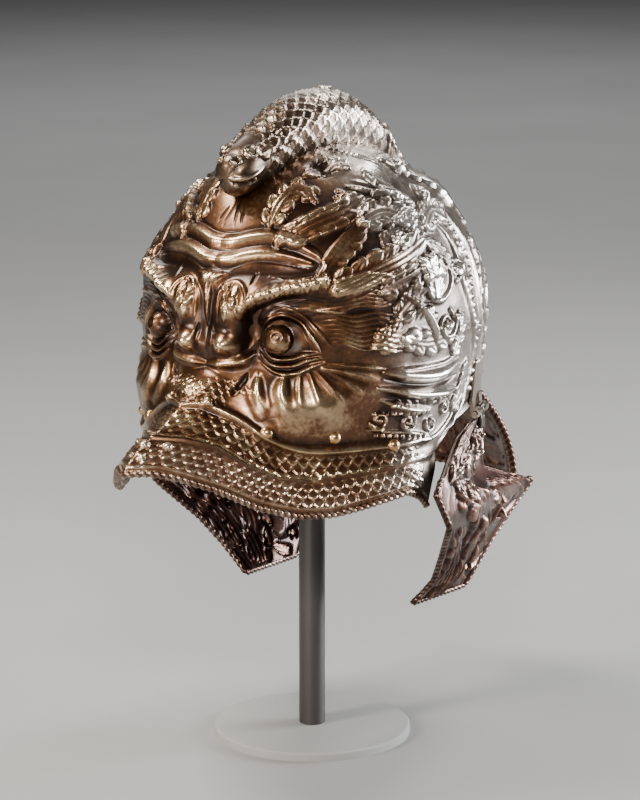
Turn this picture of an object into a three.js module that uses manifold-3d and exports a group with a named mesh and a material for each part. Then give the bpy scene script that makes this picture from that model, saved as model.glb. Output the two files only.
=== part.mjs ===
// Embossed burgonet on a plain post stand. Millimetres, +Z up.
// Origin: centre of the stand's foot, on the floor. The helmet faces -Y; the wearer's left is +X.

import * as THREE from "three";
import Module from "manifold-3d";

const wasm = await Module();
wasm.setup();

// Sizes.
const waistHeight = 285;
const crownHeight = 400;
const halfWidth = 104;
const frontReach = 118;
const rearReach = 135;
const wall = 2.2;
const gap = 0.35;

const ropeRadius = 2.6;
const postRadius = 8.75;
const baseRadius = 66;
const baseHeight = 6;

const hingeHeight = 223;
const hingeBearing = 121.6;
const hingeClear = 5.3;
const strapHeight = 27;
const hingeTurn = 18;
const knuckleRadius = 3.4;
const pinRadius = 1.5;
const pinLength = 31;

// Lower edge of the bowl: bearing from the front in degrees, reach from the post axis, height.
const bowlEdge = [
  [0, 173.5, 235], [5.1, 160.1, 232.8], [10.7, 146.5, 227], [16.9, 135.3, 214.6], [24, 126.2, 206],
  [33.9, 117.2, 202], [46.2, 110.7, 204], [57.1, 108, 205.6], [68, 107.4, 208], [88.3, 98.6, 208],
  [92.9, 98.3, 213], [98.2, 98.2, 221], [112.9, 102.6, 226], [123.3, 105.6, 227], [147, 120, 227],
  [180, 131, 227],
];

// Rim of the peak in the same terms; it ends in a low corner and runs up to the bowl's side edge.
const peakRim = [
  [0, 203, 218], [3.4, 190.9, 217.5], [6.5, 181.5, 214.5], [13.5, 164.1, 204.5], [21.4, 149.5, 191.5],
  [30.8, 136, 183.5], [40.6, 125.5, 182], [54.4, 116.9, 186], [66.6, 111.7, 189], [75.5, 103.8, 182],
  [82.5, 99.1, 172], [85.4, 98.8, 190], [87.1, 98.7, 202],
];
const peakEnd = 86.5;
const ropeEnd = 82;

// Raised masses of the mask, mirrored: bearing, height, spread in degrees, spread in mm, lift.
const masses = [
  [23.5, 290, 8.5, 11, -6], [23.5, 290, 4.4, 7.5, 8.5], [27, 275, 8, 3.5, 3.5], [30, 268, 10, 3, 2.5],
  [8, 309, 4, 12, 7], [15, 309, 4.5, 5, 6], [20, 316, 5, 5, 7.5], [27, 321, 6, 5.5, 8],
  [36, 323, 7, 6, 7.5], [47, 317, 8, 8, 5], [6.2, 285, 3.6, 6.5, 9], [15, 288, 3, 9, -5],
  [4, 272, 7, 3.5, 4], [1, 324, 4, 6, 3], [33, 249, 13, 13, 7], [50, 260, 8, 8, 3],
  [2, 256, 8, 8, 4.5], [70, 260, 12, 4.5, 4], [75, 246, 13, 4.5, 4], [14, 339, 18, 3.2, 3.5],
  [16, 348, 20, 3.2, 4.5], [62, 333, 13, 9, 5], [45, 362, 13, 6, 4], [84, 322, 8, 14, 4],
  [108, 320, 5, 40, 4], [75, 385, 20, 7, 6], [122, 365, 12, 12, 4], [122, 300, 5, 40, 3],
  [60, 232, 8, 5, 3], [150, 330, 14, 30, 3], [56, 284, 12, 20, 3.5],
];

// Crest body, front to tail: Y, its middle above the crown, half width, half height above that.
const crest = [
  [-95, -13, 6, 5], [-89, -9, 12, 9], [-77, -5, 14.5, 12], [-60, 1, 15.5, 13], [-34, 12, 18, 14.5],
  [-4, 16, 20, 16], [26, 13.5, 19.5, 15.5], [54, 2, 17.5, 14.5], [76, -13, 15, 13], [94, -29, 12, 11],
  [106, -41, 9.5, 9], [113, -51, 5.5, 5.5],
];

// Left cheekpiece, top to tip, from the middle of its hinge: front edge and rear edge of each row.
const cheekRows = [
  [[4, -20, -5], [-3.5, 12, -6]],
  [[6.5, -40, -11], [-6, 16, -16]],
  [[10.5, -55, -19], [-8, 18, -26]],
  [[22.5, -91, -37], [-10.5, 22, -44]],
  [[23.5, -76, -61], [-13.5, 96, -68]],
  [[2.5, -52, -90], [-17, 74, -84]],
  [[-9.5, -41, -109], [-20.5, 50, -104]],
  [[-19.5, -39, -120], [-23.5, 35, -120]],
  [[-27.5, -39, -128], [-25.5, 26, -130]],
];

// Shared shapes.
const rad = Math.PI / 180;
const v3 = (x, y, z) => new THREE.Vector3(x, y, z);

function lookup(table, at) {
  const k = Math.abs(at);
  let i = 0;
  while (i < table.length - 2 && table[i + 1][0] < k) i += 1;
  const [a, b] = [table[i], table[i + 1]];
  const s = Math.min(1, Math.max(0, (k - a[0]) / (b[0] - a[0])));
  return a.slice(1).map((value, n) => value + (b[n + 1] - value) * s);
}

function polar(bearing, reach, z) {
  return v3(reach * Math.sin(bearing * rad), -reach * Math.cos(bearing * rad), z);
}

function baseReach(bearing) {
  const along = Math.cos(bearing * rad) > 0 ? frontReach : rearReach;
  return 1 / Math.hypot(Math.sin(bearing * rad) / halfWidth, Math.cos(bearing * rad) / along);
}

function relief(bearing, z) {
  const b = Math.abs(bearing);
  let lift = 0;
  for (const [at, height, wide, tall, up] of masses) {
    const near = ((b - at) / wide) ** 2 + ((z - height) / tall) ** 2;
    const far = ((b + at) / wide) ** 2 + ((z - height) / tall) ** 2;
    lift += up * (Math.exp(-near) + (at > 0 ? Math.exp(-far) : 0));
  }
  return lift;
}

// A point of the bowl: bearing, and t from 0 at the crown to 1 at the lower edge; out is along the normal.
function bowlPoint(bearing, t, out, carved = true) {
  const [edgeReach, edgeHeight] = lookup(bowlEdge, bearing);
  const split = 0.6;
  let z = 0;
  let reach = 0;
  if (t <= split) {
    const angle = (t / split) * Math.PI / 2;
    z = waistHeight + (crownHeight - waistHeight) * Math.cos(angle);
    reach = baseReach(bearing) * Math.sin(angle);
  } else {
    const s = (t - split) / (1 - split);
    z = waistHeight + (edgeHeight - waistHeight) * s;
    const narrow = 0.08 * s ** 1.5;
    const flare = edgeReach - baseReach(bearing) * 0.92;
    const start = Math.max(0, (waistHeight - 13 - z) / (waistHeight - 13 - edgeHeight));
    reach = baseReach(bearing) * (1 - narrow) + flare * start ** 1.5;
  }
  const p = polar(bearing, reach, z);
  const along = Math.cos(bearing * rad) > 0 ? frontReach : rearReach;
  const rise = Math.max(0, z - waistHeight) / (crownHeight - waistHeight) ** 2;
  const normal = v3(p.x / halfWidth ** 2, p.y / along ** 2, rise).normalize();
  const snout = Math.max(0, 1 - Math.abs(bearing) / 40) * Math.max(0, (t - 0.72) / 0.28);
  normal.add(v3(0, 0, snout * 1.4)).normalize();
  const fade = Math.min(1, (1 - t) / 0.06);
  const lift = carved ? relief(bearing, z) * fade : 0;
  return p.addScaledVector(normal, lift + out);
}

// One closed solid from a vertex list and triangles.
function solid(points, faces) {
  const numbers = new Float32Array(points.length * 3);
  points.forEach((p, i) => p.toArray(numbers, i * 3));
  const mesh = new wasm.Mesh({ numProp: 3, vertProperties: numbers, triVerts: new Uint32Array(faces) });
  return new wasm.Manifold(mesh);
}

// A closed plate from two skins given on the same grid; row r, column c.
function plate(outer, inner) {
  const rows = outer.length;
  const cols = outer[0].length;
  const points = [...outer.flat(), ...inner.flat()];
  const half = rows * cols;
  const at = (r, c, side) => side * half + r * cols + c;
  const faces = [];
  const quad = (a, b, c, d) => faces.push(a, b, c, a, c, d);
  for (let r = 0; r < rows - 1; r += 1) {
    for (let c = 0; c < cols - 1; c += 1) {
      quad(at(r, c, 0), at(r + 1, c, 0), at(r + 1, c + 1, 0), at(r, c + 1, 0));
      quad(at(r, c, 1), at(r, c + 1, 1), at(r + 1, c + 1, 1), at(r + 1, c, 1));
    }
    quad(at(r, 0, 0), at(r, 0, 1), at(r + 1, 0, 1), at(r + 1, 0, 0));
    quad(at(r, cols - 1, 0), at(r + 1, cols - 1, 0), at(r + 1, cols - 1, 1), at(r, cols - 1, 1));
  }
  for (let c = 0; c < cols - 1; c += 1) {
    quad(at(0, c, 0), at(0, c + 1, 0), at(0, c + 1, 1), at(0, c, 1));
    quad(at(rows - 1, c, 0), at(rows - 1, c, 1), at(rows - 1, c + 1, 1), at(rows - 1, c + 1, 0));
  }
  return solid(points, faces);
}

// Rings of equal length joined into a body, with a fan at each end.
function rings(list) {
  const n = list[0].length;
  const points = list.flat();
  const faces = [];
  for (let r = 0; r < list.length - 1; r += 1) {
    for (let i = 0; i < n; i += 1) {
      const j = (i + 1) % n;
      faces.push(r * n + i, r * n + j, (r + 1) * n + j, r * n + i, (r + 1) * n + j, (r + 1) * n + i);
    }
  }
  for (const [r, flip] of [[0, true], [list.length - 1, false]]) {
    const middle = list[r].reduce((sum, p) => sum.add(p), v3(0, 0, 0)).divideScalar(n);
    points.push(middle);
    for (let i = 0; i < n; i += 1) {
      const j = (i + 1) % n;
      const pair = flip ? [r * n + j, r * n + i] : [r * n + i, r * n + j];
      faces.push(pair[0], pair[1], points.length - 1);
    }
  }
  return solid(points, faces);
}

// A round rod through points.
function rod(path, radius, sides = 5) {
  const list = path.map((p, i) => {
    const before = path[Math.max(0, i - 1)];
    const after = path[Math.min(path.length - 1, i + 1)];
    const along = after.clone().sub(before).normalize();
    const side = v3(0, 0, 1).cross(along);
    if (side.length() < 0.05) side.set(1, 0, 0);
    side.normalize();
    const up = along.clone().cross(side).normalize();
    return Array.from({ length: sides }, (_, k) => {
      const a = (k / sides) * 2 * Math.PI;
      return p.clone().addScaledVector(side, radius * Math.cos(a))
        .addScaledVector(up, radius * Math.sin(a));
    });
  });
  return rings(list);
}

function mirrored(body) {
  return body.mirror([1, 0, 0]);
}

const group = new THREE.Group();

function add(name, body, color, metalness, roughness) {
  const mesh = body.getMesh();
  const geometry = new THREE.BufferGeometry();
  const values = new Float32Array(mesh.numVert * 3);
  for (let i = 0; i < mesh.numVert; i += 1) {
    for (let k = 0; k < 3; k += 1) values[i * 3 + k] = mesh.vertProperties[i * mesh.numProp + k];
  }
  geometry.setAttribute("position", new THREE.BufferAttribute(values, 3));
  geometry.setIndex(Array.from(mesh.triVerts));
  geometry.computeVertexNormals();
  const part = new THREE.Mesh(geometry, new THREE.MeshStandardMaterial({ color, metalness, roughness }));
  part.name = name;
  group.add(part);
}

// Bowl with its crest.
const bearings = [];
for (let b = 0; b < 65.9; b += 4.125) bearings.push(b);
for (let b = 66; b < 179; b += 9.5) bearings.push(b);
const around = [...bearings.slice(1).reverse().map((b) => -b), ...bearings];
around.push(180);
const rowShares = [0.09, 0.18, 0.26, 0.33, 0.38, 0.42, 0.455, 0.49, 0.525, 0.56, 0.595, 0.63, 0.665, 0.7,
  0.74, 0.785, 0.83, 0.88, 0.935, 1];

function dome(out, carved, shares) {
  const points = [v3(0, 0, crownHeight + out)];
  for (const t of shares) for (const b of around) points.push(bowlPoint(b, t, out, carved));
  return points;
}

function domeFaces(rows, start, flip) {
  const n = around.length;
  const faces = [];
  const tri = (a, b, c) => (flip ? faces.push(a, c, b) : faces.push(a, b, c));
  for (let i = 0; i < n; i += 1) {
    const j = (i + 1) % n;
    tri(start, start + 1 + i, start + 1 + j);
    for (let r = 0; r < rows - 1; r += 1) {
      const a = start + 1 + r * n;
      tri(a + i, a + n + i, a + n + j);
      tri(a + i, a + n + j, a + j);
    }
  }
  return faces;
}

function bowl() {
  const rows = rowShares.length;
  const outer = dome(0, true, rowShares);
  const inner = dome(-wall, true, rowShares);
  const n = around.length;
  const faces = [...domeFaces(rows, 0, false), ...domeFaces(rows, outer.length, true)];
  const low = 1 + (rows - 1) * n;
  for (let i = 0; i < n; i += 1) {
    const j = (i + 1) % n;
    const [a, b] = [low + i, low + j];
    faces.push(a, a + outer.length, b + outer.length, a, b + outer.length, b);
  }
  const shell = solid([...outer, ...inner], faces);
  // The fish body, cut away where it would come through the bowl.
  const body = rings(crest.map(([y, rise, wide, tall]) => Array.from({ length: 12 }, (_, k) => {
    const a = (k / 12) * 2 * Math.PI;
    const lower = Math.sin(a) < 0 ? 1.8 : 1;
    return v3(-wide * Math.cos(a), y, crownHeight + rise + tall * lower * Math.sin(a));
  })));
  const closing = Array.from({ length: n }, (_, i) => [low + (i + 1) % n, low + i, inner.length]).flat();
  const middle = dome(-wall / 2, true, rowShares);
  const filling = solid([...middle, v3(0, 0, waistHeight - 60)], [...domeFaces(rows, 0, false), ...closing]);
  return shell.add(body.subtract(filling)).simplify(0.05);
}

add("bowl", bowl(), 0x8a5a34, 0.9, 0.4);

// Peak.
function peakPoint(bearing, s) {
  const [rootReach, rootHeight] = lookup(bowlEdge, bearing);
  const [rimReach, rimHeight] = lookup(peakRim, bearing);
  const root = polar(bearing, rootReach, rootHeight);
  const rim = polar(bearing, rimReach, rimHeight);
  const along = rim.clone().sub(root);
  root.addScaledVector(along.clone().normalize(), gap);
  const p = root.lerp(rim, s);
  const swell = 2.2 * Math.sin(Math.PI * s) * Math.min(1, along.length() / 20);
  const lean = Math.max(0, 1 - Math.abs(bearing) / 40);
  return p.addScaledVector(polar(bearing, 1, 0).add(v3(0, 0, 1.6 * lean)).normalize(), swell);
}

function peak() {
  const cols = [];
  for (let b = -peakEnd; b <= peakEnd + 0.1; b += peakEnd / 22) cols.push(b);
  const shares = [0, 0.25, 0.5, 0.75, 1];
  const outer = shares.map((s) => cols.map((b) => peakPoint(b, s)));
  const inner = shares.map((s) => cols.map((b) => {
    const lean = Math.max(0, 1 - Math.abs(b) / 45);
    const inward = polar(b, -1, 0).add(v3(0, 0, -1.9 * lean)).normalize();
    return peakPoint(b, s).addScaledVector(inward, wall);
  }));
  const path = [];
  for (let b = -ropeEnd; b <= ropeEnd + 0.1; b += ropeEnd / 20) path.push(peakPoint(b, 0.985));
  return plate(outer, inner).add(rod(path, ropeRadius));
}

add("peak", peak(), 0x80542f, 0.9, 0.4);

// Nape plate.
const napeBearing = 146.5;
const napeReach = 177;
const napeSide = 169;
const napeHeight = 152;

function napePoint(u, s, out) {
  const bearing = 180 + u * (180 - napeBearing);
  const [reach, height] = lookup(bowlEdge, 360 - Math.max(bearing, 360 - bearing));
  const top = polar(bearing, reach - 0.4, height - gap - 0.2);
  const low = polar(180 + u * 22.5, napeReach + (napeSide - napeReach) * u * u, napeHeight);
  const bulge = 7.5 * Math.sin(Math.PI * s);
  const p = top.lerp(low, s);
  const away = v3(p.x, p.y, 0).normalize();
  return p.addScaledVector(away, out + bulge);
}

function nape() {
  const cols = Array.from({ length: 15 }, (_, i) => i / 7 - 1);
  const shares = [0, 0.2, 0.4, 0.6, 0.8, 1];
  const outer = shares.map((s) => cols.map((u) => napePoint(u, s, 0)));
  const inner = shares.map((s) => cols.map((u) => napePoint(u, s, -wall)));
  const path = [0.12, 0.35, 0.6, 0.8, 0.97].map((s) => napePoint(-0.98, s, -1));
  path.push(...cols.slice(1, -1).map((u) => napePoint(u, 0.985, -1)));
  path.push(...[0.97, 0.8, 0.6, 0.35, 0.12].map((s) => napePoint(0.98, s, -1)));
  return plate(outer, inner).add(rod(path, ropeRadius));
}

add("nape_plate", nape(), 0x6e4a33, 0.9, 0.45);

// Hinges and cheekpieces.
const hingeAxis = v3(-Math.sin(hingeTurn * rad), Math.cos(hingeTurn * rad), 0);

// The share of the way down at which the bowl has a height, below its waist.
function shareAt(bearing, height) {
  const edgeHeight = lookup(bowlEdge, bearing)[1];
  return Math.min(0.985, 0.6 + (0.4 * (waistHeight - height)) / (waistHeight - edgeHeight));
}

const hingeMiddle = bowlPoint(hingeBearing, shareAt(hingeBearing, hingeHeight + 4), hingeClear, false);
hingeMiddle.z = hingeHeight;

const onAxis = (along) => hingeMiddle.clone().addScaledVector(hingeAxis, along);

function barrel(from, to, radius, bore) {
  const ends = [onAxis(from), onAxis(to)];
  const outer = rod(ends, radius, 12);
  if (bore === 0) return outer;
  const reach = 1;
  const hole = [onAxis(from - reach), onAxis(to + reach)];
  return outer.subtract(rod(hole, bore, 12));
}

function hingeLeaf() {
  const cols = [115.5, 119, 122.5, 126, 129.5];
  const heights = [0, 1, 2, 3].map((k) => hingeHeight + 6 + (strapHeight / 3) * k);
  const outer = heights.map((z) => cols.map((b) => bowlPoint(b, shareAt(b, z), 2.4)));
  const inner = heights.map((z) => cols.map((b) => bowlPoint(b, shareAt(b, z), 0.8)));
  const strap = plate(inner, outer);
  const lugs = [[-13.5, -5.3], [5.3, 13.5]].map(([from, to]) => {
    const tube = barrel(from, to, knuckleRadius, pinRadius + gap);
    const out = v3(hingeAxis.y, -hingeAxis.x, 0);
    const corners = [];
    for (const side of [from, to]) {
      const at = hingeMiddle.clone().addScaledVector(hingeAxis, side);
      corners.push([
        at.clone().addScaledVector(out, -4.0).add(v3(0, 0, 10)),
        at.clone().addScaledVector(out, -2.0).add(v3(0, 0, 10)),
        at.clone().addScaledVector(out, -1.2).add(v3(0, 0, 2.2)),
        at.clone().addScaledVector(out, -3.3).add(v3(0, 0, 0.5)),
      ]);
    }
    return tube.add(rings(corners));
  });
  return strap.add(lugs[0]).add(lugs[1]);
}

function cheekPoint(u, row, out) {
  const r = Math.min(cheekRows.length - 2, Math.floor(row));
  const s = row - r;
  const front = v3(...cheekRows[r][0]).lerp(v3(...cheekRows[r + 1][0]), s);
  const rear = v3(...cheekRows[r][1]).lerp(v3(...cheekRows[r + 1][1]), s);
  const p = front.clone().lerp(rear, u).add(hingeMiddle);
  const along = rear.clone().sub(front).normalize();
  const normal = v3(along.y, -along.x, 0.25).normalize();
  const hollow = Math.sin(Math.PI * Math.min(1, u * 1.5)) * Math.sin(Math.PI * Math.min(1, row / 8 + 0.12));
  return p.addScaledVector(normal, 5 * hollow + out);
}

function cheek() {
  const cols = Array.from({ length: 11 }, (_, i) => i / 10);
  const levels = Array.from({ length: 9 }, (_, i) => i);
  const outer = levels.map((r) => cols.map((u) => cheekPoint(u, r, 0)));
  const inner = levels.map((r) => cols.map((u) => cheekPoint(u, r, -wall * 0.8)));
  const edge = [];
  for (let r = 3; r <= 8; r += 1) edge.push(cheekPoint(0.015, r, -0.8));
  for (const u of [0.3, 0.6]) edge.push(cheekPoint(u, 7.95, -0.8));
  const rear = [];
  for (let r = 4; r <= 8; r += 1) rear.push(cheekPoint(0.985, r, -0.8));
  const tube = barrel(-4.9, 4.9, knuckleRadius, pinRadius + gap);
  const out = v3(hingeAxis.y, -hingeAxis.x, 0);
  const web = rings([-4.7, 4.7].map((side) => {
    const at = hingeMiddle.clone().addScaledVector(hingeAxis, side);
    return [
      at.clone().addScaledVector(out, -1.1).add(v3(0, 0, -2.2)),
      at.clone().addScaledVector(out, 1.3).add(v3(0, 0, -2.2)),
      at.clone().addScaledVector(out, 2.2).add(v3(0, 0, -11)),
      at.clone().addScaledVector(out, -1.1).add(v3(0, 0, -11)),
    ];
  }));
  const ropes = rod(edge, ropeRadius * 0.85).add(rod(rear, ropeRadius * 0.85));
  return plate(outer, inner).add(ropes).add(tube).add(web);
}

for (const [side, place] of [["left", (body) => body], ["right", mirrored]]) {
  add(`${side}_cheekpiece`, place(cheek()), 0x7a5140, 0.9, 0.4);
  add(`${side}_hinge_leaf`, place(hingeLeaf()), 0x8d8078, 0.9, 0.4);
  add(`${side}_hinge_pin`, place(barrel(-pinLength / 2, pinLength / 2, pinRadius, 0)), 0x9a9088, 0.9, 0.35);
}

// Rivets over the peak.
const rivetRadius = 4;
// Bearing, share of the way down, and how far the head's foot stands off the bowl's curve.
const rivetSpots = [[20.625, 0.88, 0.8], [41.25, 0.88, 1.0], [61.875, 0.935, 0.8]];

function rivet(bearing, t, stand) {
  const seat = bowlPoint(bearing, t, stand);
  const normal = bowlPoint(bearing, t, stand + 5).sub(seat).normalize();
  const turn = new THREE.Quaternion().setFromUnitVectors(v3(0, 0, 1), normal);
  const levels = [[0.55, 0], [1, 0.9], [0.92, 1.9], [0.62, 3], [0.2, 3.4]];
  return rings(levels.map(([wide, high]) => Array.from({ length: 9 }, (_, k) => {
    const a = (k / 9) * 2 * Math.PI;
    const p = v3(rivetRadius * wide * Math.cos(a), rivetRadius * wide * Math.sin(a), high);
    return p.applyQuaternion(turn).add(seat);
  })));
}

for (const [side, place] of [["left", (body) => body], ["right", mirrored]]) {
  rivetSpots.forEach(([bearing, t, stand], i) => {
    add(`${side}_rivet_${i + 1}`, place(rivet(bearing, t, stand)), 0xb08a5c, 0.95, 0.3);
  });
}

// Stand.
function turned(profile, sides) {
  return rings(profile.map(([radius, z]) => Array.from({ length: sides }, (_, k) => {
    const a = (k / sides) * 2 * Math.PI;
    return v3(radius * Math.cos(a), radius * Math.sin(a), z);
  })));
}

const postTop = crownHeight - wall - gap - 0.6;
const foot = [[baseRadius, 0], [baseRadius, baseHeight - 2], [baseRadius - 2, baseHeight]];
const post = [[postRadius, baseHeight + gap], [postRadius, postTop - 1.5], [postRadius - 1.5, postTop]];
add("stand_base", turned(foot, 48), 0xb4b2b0, 0, 0.8);
add("stand_post", turned(post, 24), 0x4a4042, 0.3, 0.5);

export default group;
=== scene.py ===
import math

import bmesh
import bpy
import numpy as np
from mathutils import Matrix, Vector


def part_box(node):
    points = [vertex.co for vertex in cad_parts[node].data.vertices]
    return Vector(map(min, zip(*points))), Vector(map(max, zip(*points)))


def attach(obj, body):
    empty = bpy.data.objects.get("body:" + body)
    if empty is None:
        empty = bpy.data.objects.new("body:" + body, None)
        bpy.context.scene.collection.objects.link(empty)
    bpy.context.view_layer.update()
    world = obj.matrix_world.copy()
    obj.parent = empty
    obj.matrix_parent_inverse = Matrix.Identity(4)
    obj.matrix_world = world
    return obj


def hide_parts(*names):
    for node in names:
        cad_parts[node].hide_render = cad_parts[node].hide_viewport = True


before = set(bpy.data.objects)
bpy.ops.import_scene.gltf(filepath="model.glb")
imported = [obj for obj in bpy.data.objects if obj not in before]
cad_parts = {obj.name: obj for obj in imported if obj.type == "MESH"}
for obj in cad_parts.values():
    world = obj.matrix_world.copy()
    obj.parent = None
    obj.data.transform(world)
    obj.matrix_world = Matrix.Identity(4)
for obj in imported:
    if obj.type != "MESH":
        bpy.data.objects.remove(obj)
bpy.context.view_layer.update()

HELMET = "helmet_on_stand"

# Camera: a long lens a little above the brow, off the wearer's left front,
# as the photograph was taken. Metres, and the photograph's pixels for the lens.
AIM = Vector((0.0044, 0.0030, 0.228))
CAMERA_BEARING = math.radians(34)
CAMERA_RISE = math.radians(12)
CAMERA_DISTANCE = 1.9
FOCAL_PIXELS, PHOTO_PIXELS, SENSOR_MM = 2879, 800, 24
toward = Vector((math.sin(CAMERA_BEARING) * math.cos(CAMERA_RISE),
                 -math.cos(CAMERA_BEARING) * math.cos(CAMERA_RISE),
                 math.sin(CAMERA_RISE)))
lens = bpy.data.cameras.new("camera")
lens.sensor_fit = "VERTICAL"
lens.sensor_height = SENSOR_MM
lens.lens = FOCAL_PIXELS / PHOTO_PIXELS * SENSOR_MM
camera = bpy.data.objects.new("camera", lens)
camera.location = AIM + toward * CAMERA_DISTANCE
camera.rotation_euler = toward.to_track_quat("Z", "Y").to_euler()
bpy.context.scene.collection.objects.link(camera)
bpy.context.scene.camera = camera

# Studio: warm soft boxes at the left, over the brow, in front and low before the lip,
# one over the back of the crown, a cool one behind the right side that the bare steel
# mirrors, and one that lights the paper far behind.
for name, place, target, size, power, tint in (
    ("left_box", (-0.62, -1.45, 0.85), (0, 0, 0.28), (0.32, 0.55), 44, (1.0, 0.93, 0.80)),
    ("brow_box", (-0.65, -0.35, 1.60), (0, 0, 0.33), (0.5, 0.5), 42, (1.0, 0.96, 0.87)),
    ("right_box", (1.25, 1.35, 0.50), (0, 0, 0.28), (0.9, 1.0), 112, (0.94, 0.97, 1.0)),
    ("front_box", (0.95, -1.35, 1.15), (0, 0, 0.24), (0.4, 0.3), 42, (1.0, 0.96, 0.88)),
    ("top_box", (0.15, 1.00, 1.70), (0, 0, 0.36), (0.45, 0.45), 23, (1.0, 0.98, 0.95)),
    ("low_box", (0.15, -1.5, 0.16), (0, -0.1, 0.22), (0.9, 0.16), 9, (1.0, 0.94, 0.86)),
    ("paper_box", (-1.9, 3.1, 2.6), (-1.9, 3.1, 0), (2.8, 2.8), 100, (1.0, 1.0, 1.0)),
):
    lamp = bpy.data.lights.new(name, "AREA")
    lamp.shape = "RECTANGLE"
    lamp.size, lamp.size_y = size
    lamp.energy = power
    lamp.color = tint
    holder = bpy.data.objects.new(name, lamp)
    holder.location = place
    away = Vector(place) - Vector(target)
    holder.rotation_euler = away.to_track_quat("Z", "Y").to_euler()
    bpy.context.scene.collection.objects.link(holder)
room = bpy.data.worlds.new("grey_room")
room.use_nodes = True
room.node_tree.nodes["Background"].inputs["Color"].default_value = (0.12, 0.12, 0.125, 1)
room.node_tree.nodes["Background"].inputs["Strength"].default_value = 0.5
bpy.context.scene.world = room

# Floor: seamless grey paper that runs on level behind the stand.
def built(name, form, smooth=True):
    """A linked object made from a form of faces, which is used up."""
    mesh = bpy.data.meshes.new(name)
    form.to_mesh(mesh)
    form.free()
    if smooth:
        mesh.shade_smooth()
    made = bpy.data.objects.new(name, mesh)
    bpy.context.scene.collection.objects.link(made)
    return made


paper = bmesh.new()
bmesh.ops.create_grid(paper, x_segments=2, y_segments=2, size=14)
floor = built("paper_floor", paper, smooth=False)
paper_finish = bpy.data.materials.new("grey_paper")
paper_finish.use_nodes = True
paper_nodes = paper_finish.node_tree
paper_shader = paper_nodes.nodes["Principled BSDF"]
paper_shader.inputs["Roughness"].default_value = 0.9
paper_mottle = paper_nodes.nodes.new("ShaderNodeTexNoise")
paper_mottle.inputs["Scale"].default_value = 2.5
paper_place = paper_nodes.nodes.new("ShaderNodeTexCoord")
paper_tone = paper_nodes.nodes.new("ShaderNodeMapRange")
paper_tone.inputs["To Min"].default_value = 0.185
paper_tone.inputs["To Max"].default_value = 0.225
paper_nodes.links.new(paper_place.outputs["Object"], paper_mottle.inputs["Vector"])
paper_nodes.links.new(paper_mottle.outputs["Fac"], paper_tone.inputs["Value"])
paper_nodes.links.new(paper_tone.outputs["Result"], paper_shader.inputs["Base Color"])
floor.data.materials.append(paper_finish)


# Bowl: one sheet of steel raised over a stake into a grotesque mask, with leaf
# work behind it. All heights are the hammered relief over the plain skull shape,
# and both sides are the same. Millimetres until a mesh is made.
BOWL_EDGE = np.array([
    (0, 173.5, 235), (5.1, 160.1, 232.8), (10.7, 146.5, 227), (16.9, 135.3, 214.6), (24, 126.2, 206),
    (33.9, 117.2, 202), (46.2, 110.7, 204), (57.1, 108, 205.6), (68, 107.4, 208), (88.3, 98.6, 208),
    (92.9, 98.3, 213), (98.2, 98.2, 221), (112.9, 102.6, 226), (123.3, 105.6, 227), (147, 120, 227),
    (180, 131, 227)], float)


# The skull shape is an ellipse above the brow and draws in below it until it flares.
HALF_WIDTH, FRONT_REACH, REAR_REACH = 104, 118, 135
BROW_HEIGHT, CROWN_RISE, FLARE_HEIGHT = 285, 115, 272
BROW_SHARE = 0.6


def rim_at(table, bearing):
    """Reach and height of a rim at a bearing, the same on both sides."""
    turn = np.abs(bearing)
    return np.interp(turn, table[:, 0], table[:, 1]), np.interp(turn, table[:, 0], table[:, 2])


def polar(bearing, reach, height):
    return np.stack([reach * np.sin(np.radians(bearing)), -reach * np.cos(np.radians(bearing)), height], -1)


def plain_reach(bearing):
    c, s = np.cos(np.radians(bearing)), np.sin(np.radians(bearing))
    return 1 / np.hypot(s / HALF_WIDTH, c / np.where(c > 0, FRONT_REACH, REAR_REACH))


def plain_bowl(bearing, t):
    """The skull shape without relief: bearing from the front, t from 0 at the crown to 1 at the edge."""
    edge_reach, edge_height = rim_at(BOWL_EDGE, bearing)
    angle = np.clip(t / BROW_SHARE, 0, 1) * np.pi / 2
    s = np.clip((t - BROW_SHARE) / (1 - BROW_SHARE), 0, 1)
    low = BROW_HEIGHT + (edge_height - BROW_HEIGHT) * s
    start = np.maximum(0, (FLARE_HEIGHT - low) / (FLARE_HEIGHT - edge_height))
    flare = edge_reach - plain_reach(bearing) * 0.92
    reach_low = plain_reach(bearing) * (1 - 0.08 * s ** 1.5) + flare * start ** 1.5
    upper = t <= BROW_SHARE
    reach = np.where(upper, plain_reach(bearing) * np.sin(angle), reach_low)
    height = np.where(upper, BROW_HEIGHT + CROWN_RISE * np.cos(angle), low)
    return polar(bearing, reach, height)


def spot(bearing, height):
    """A point of the plain bowl at that bearing and height."""
    bearing, height = np.asarray(bearing, float), np.asarray(height, float)
    edge_height = rim_at(BOWL_EDGE, bearing)[1]
    above = np.clip((height - BROW_HEIGHT) / CROWN_RISE, 0, 1)
    t_up = BROW_SHARE * np.arccos(above) / (np.pi / 2)
    t_low = BROW_SHARE + (1 - BROW_SHARE) * (BROW_HEIGHT - height) / (BROW_HEIGHT - edge_height)
    return plain_bowl(bearing, np.where(height >= BROW_HEIGHT, t_up, t_low))


def spots(line):
    return [spot(*place) for place in line]


def point_on(sheet, first, second):
    """One point of a plain sheet at its two coordinates."""
    return sheet(np.array([first], float), np.array([second], float))[0]


def hump(away, spread):
    """1 at no distance, falling off smoothly over the spread."""
    return np.exp(-(away / spread) ** 2)


def fade(value, over):
    """A straight run from 0 to 1 over a distance."""
    return np.clip(value / over, 0, 1)


def distance(points, other):
    return np.linalg.norm(points - other, axis=-1)


def travelled(line):
    """How far along the line each of its points lies."""
    return np.concatenate([[0], np.cumsum(np.linalg.norm(np.diff(line, axis=0), axis=1))])


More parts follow.
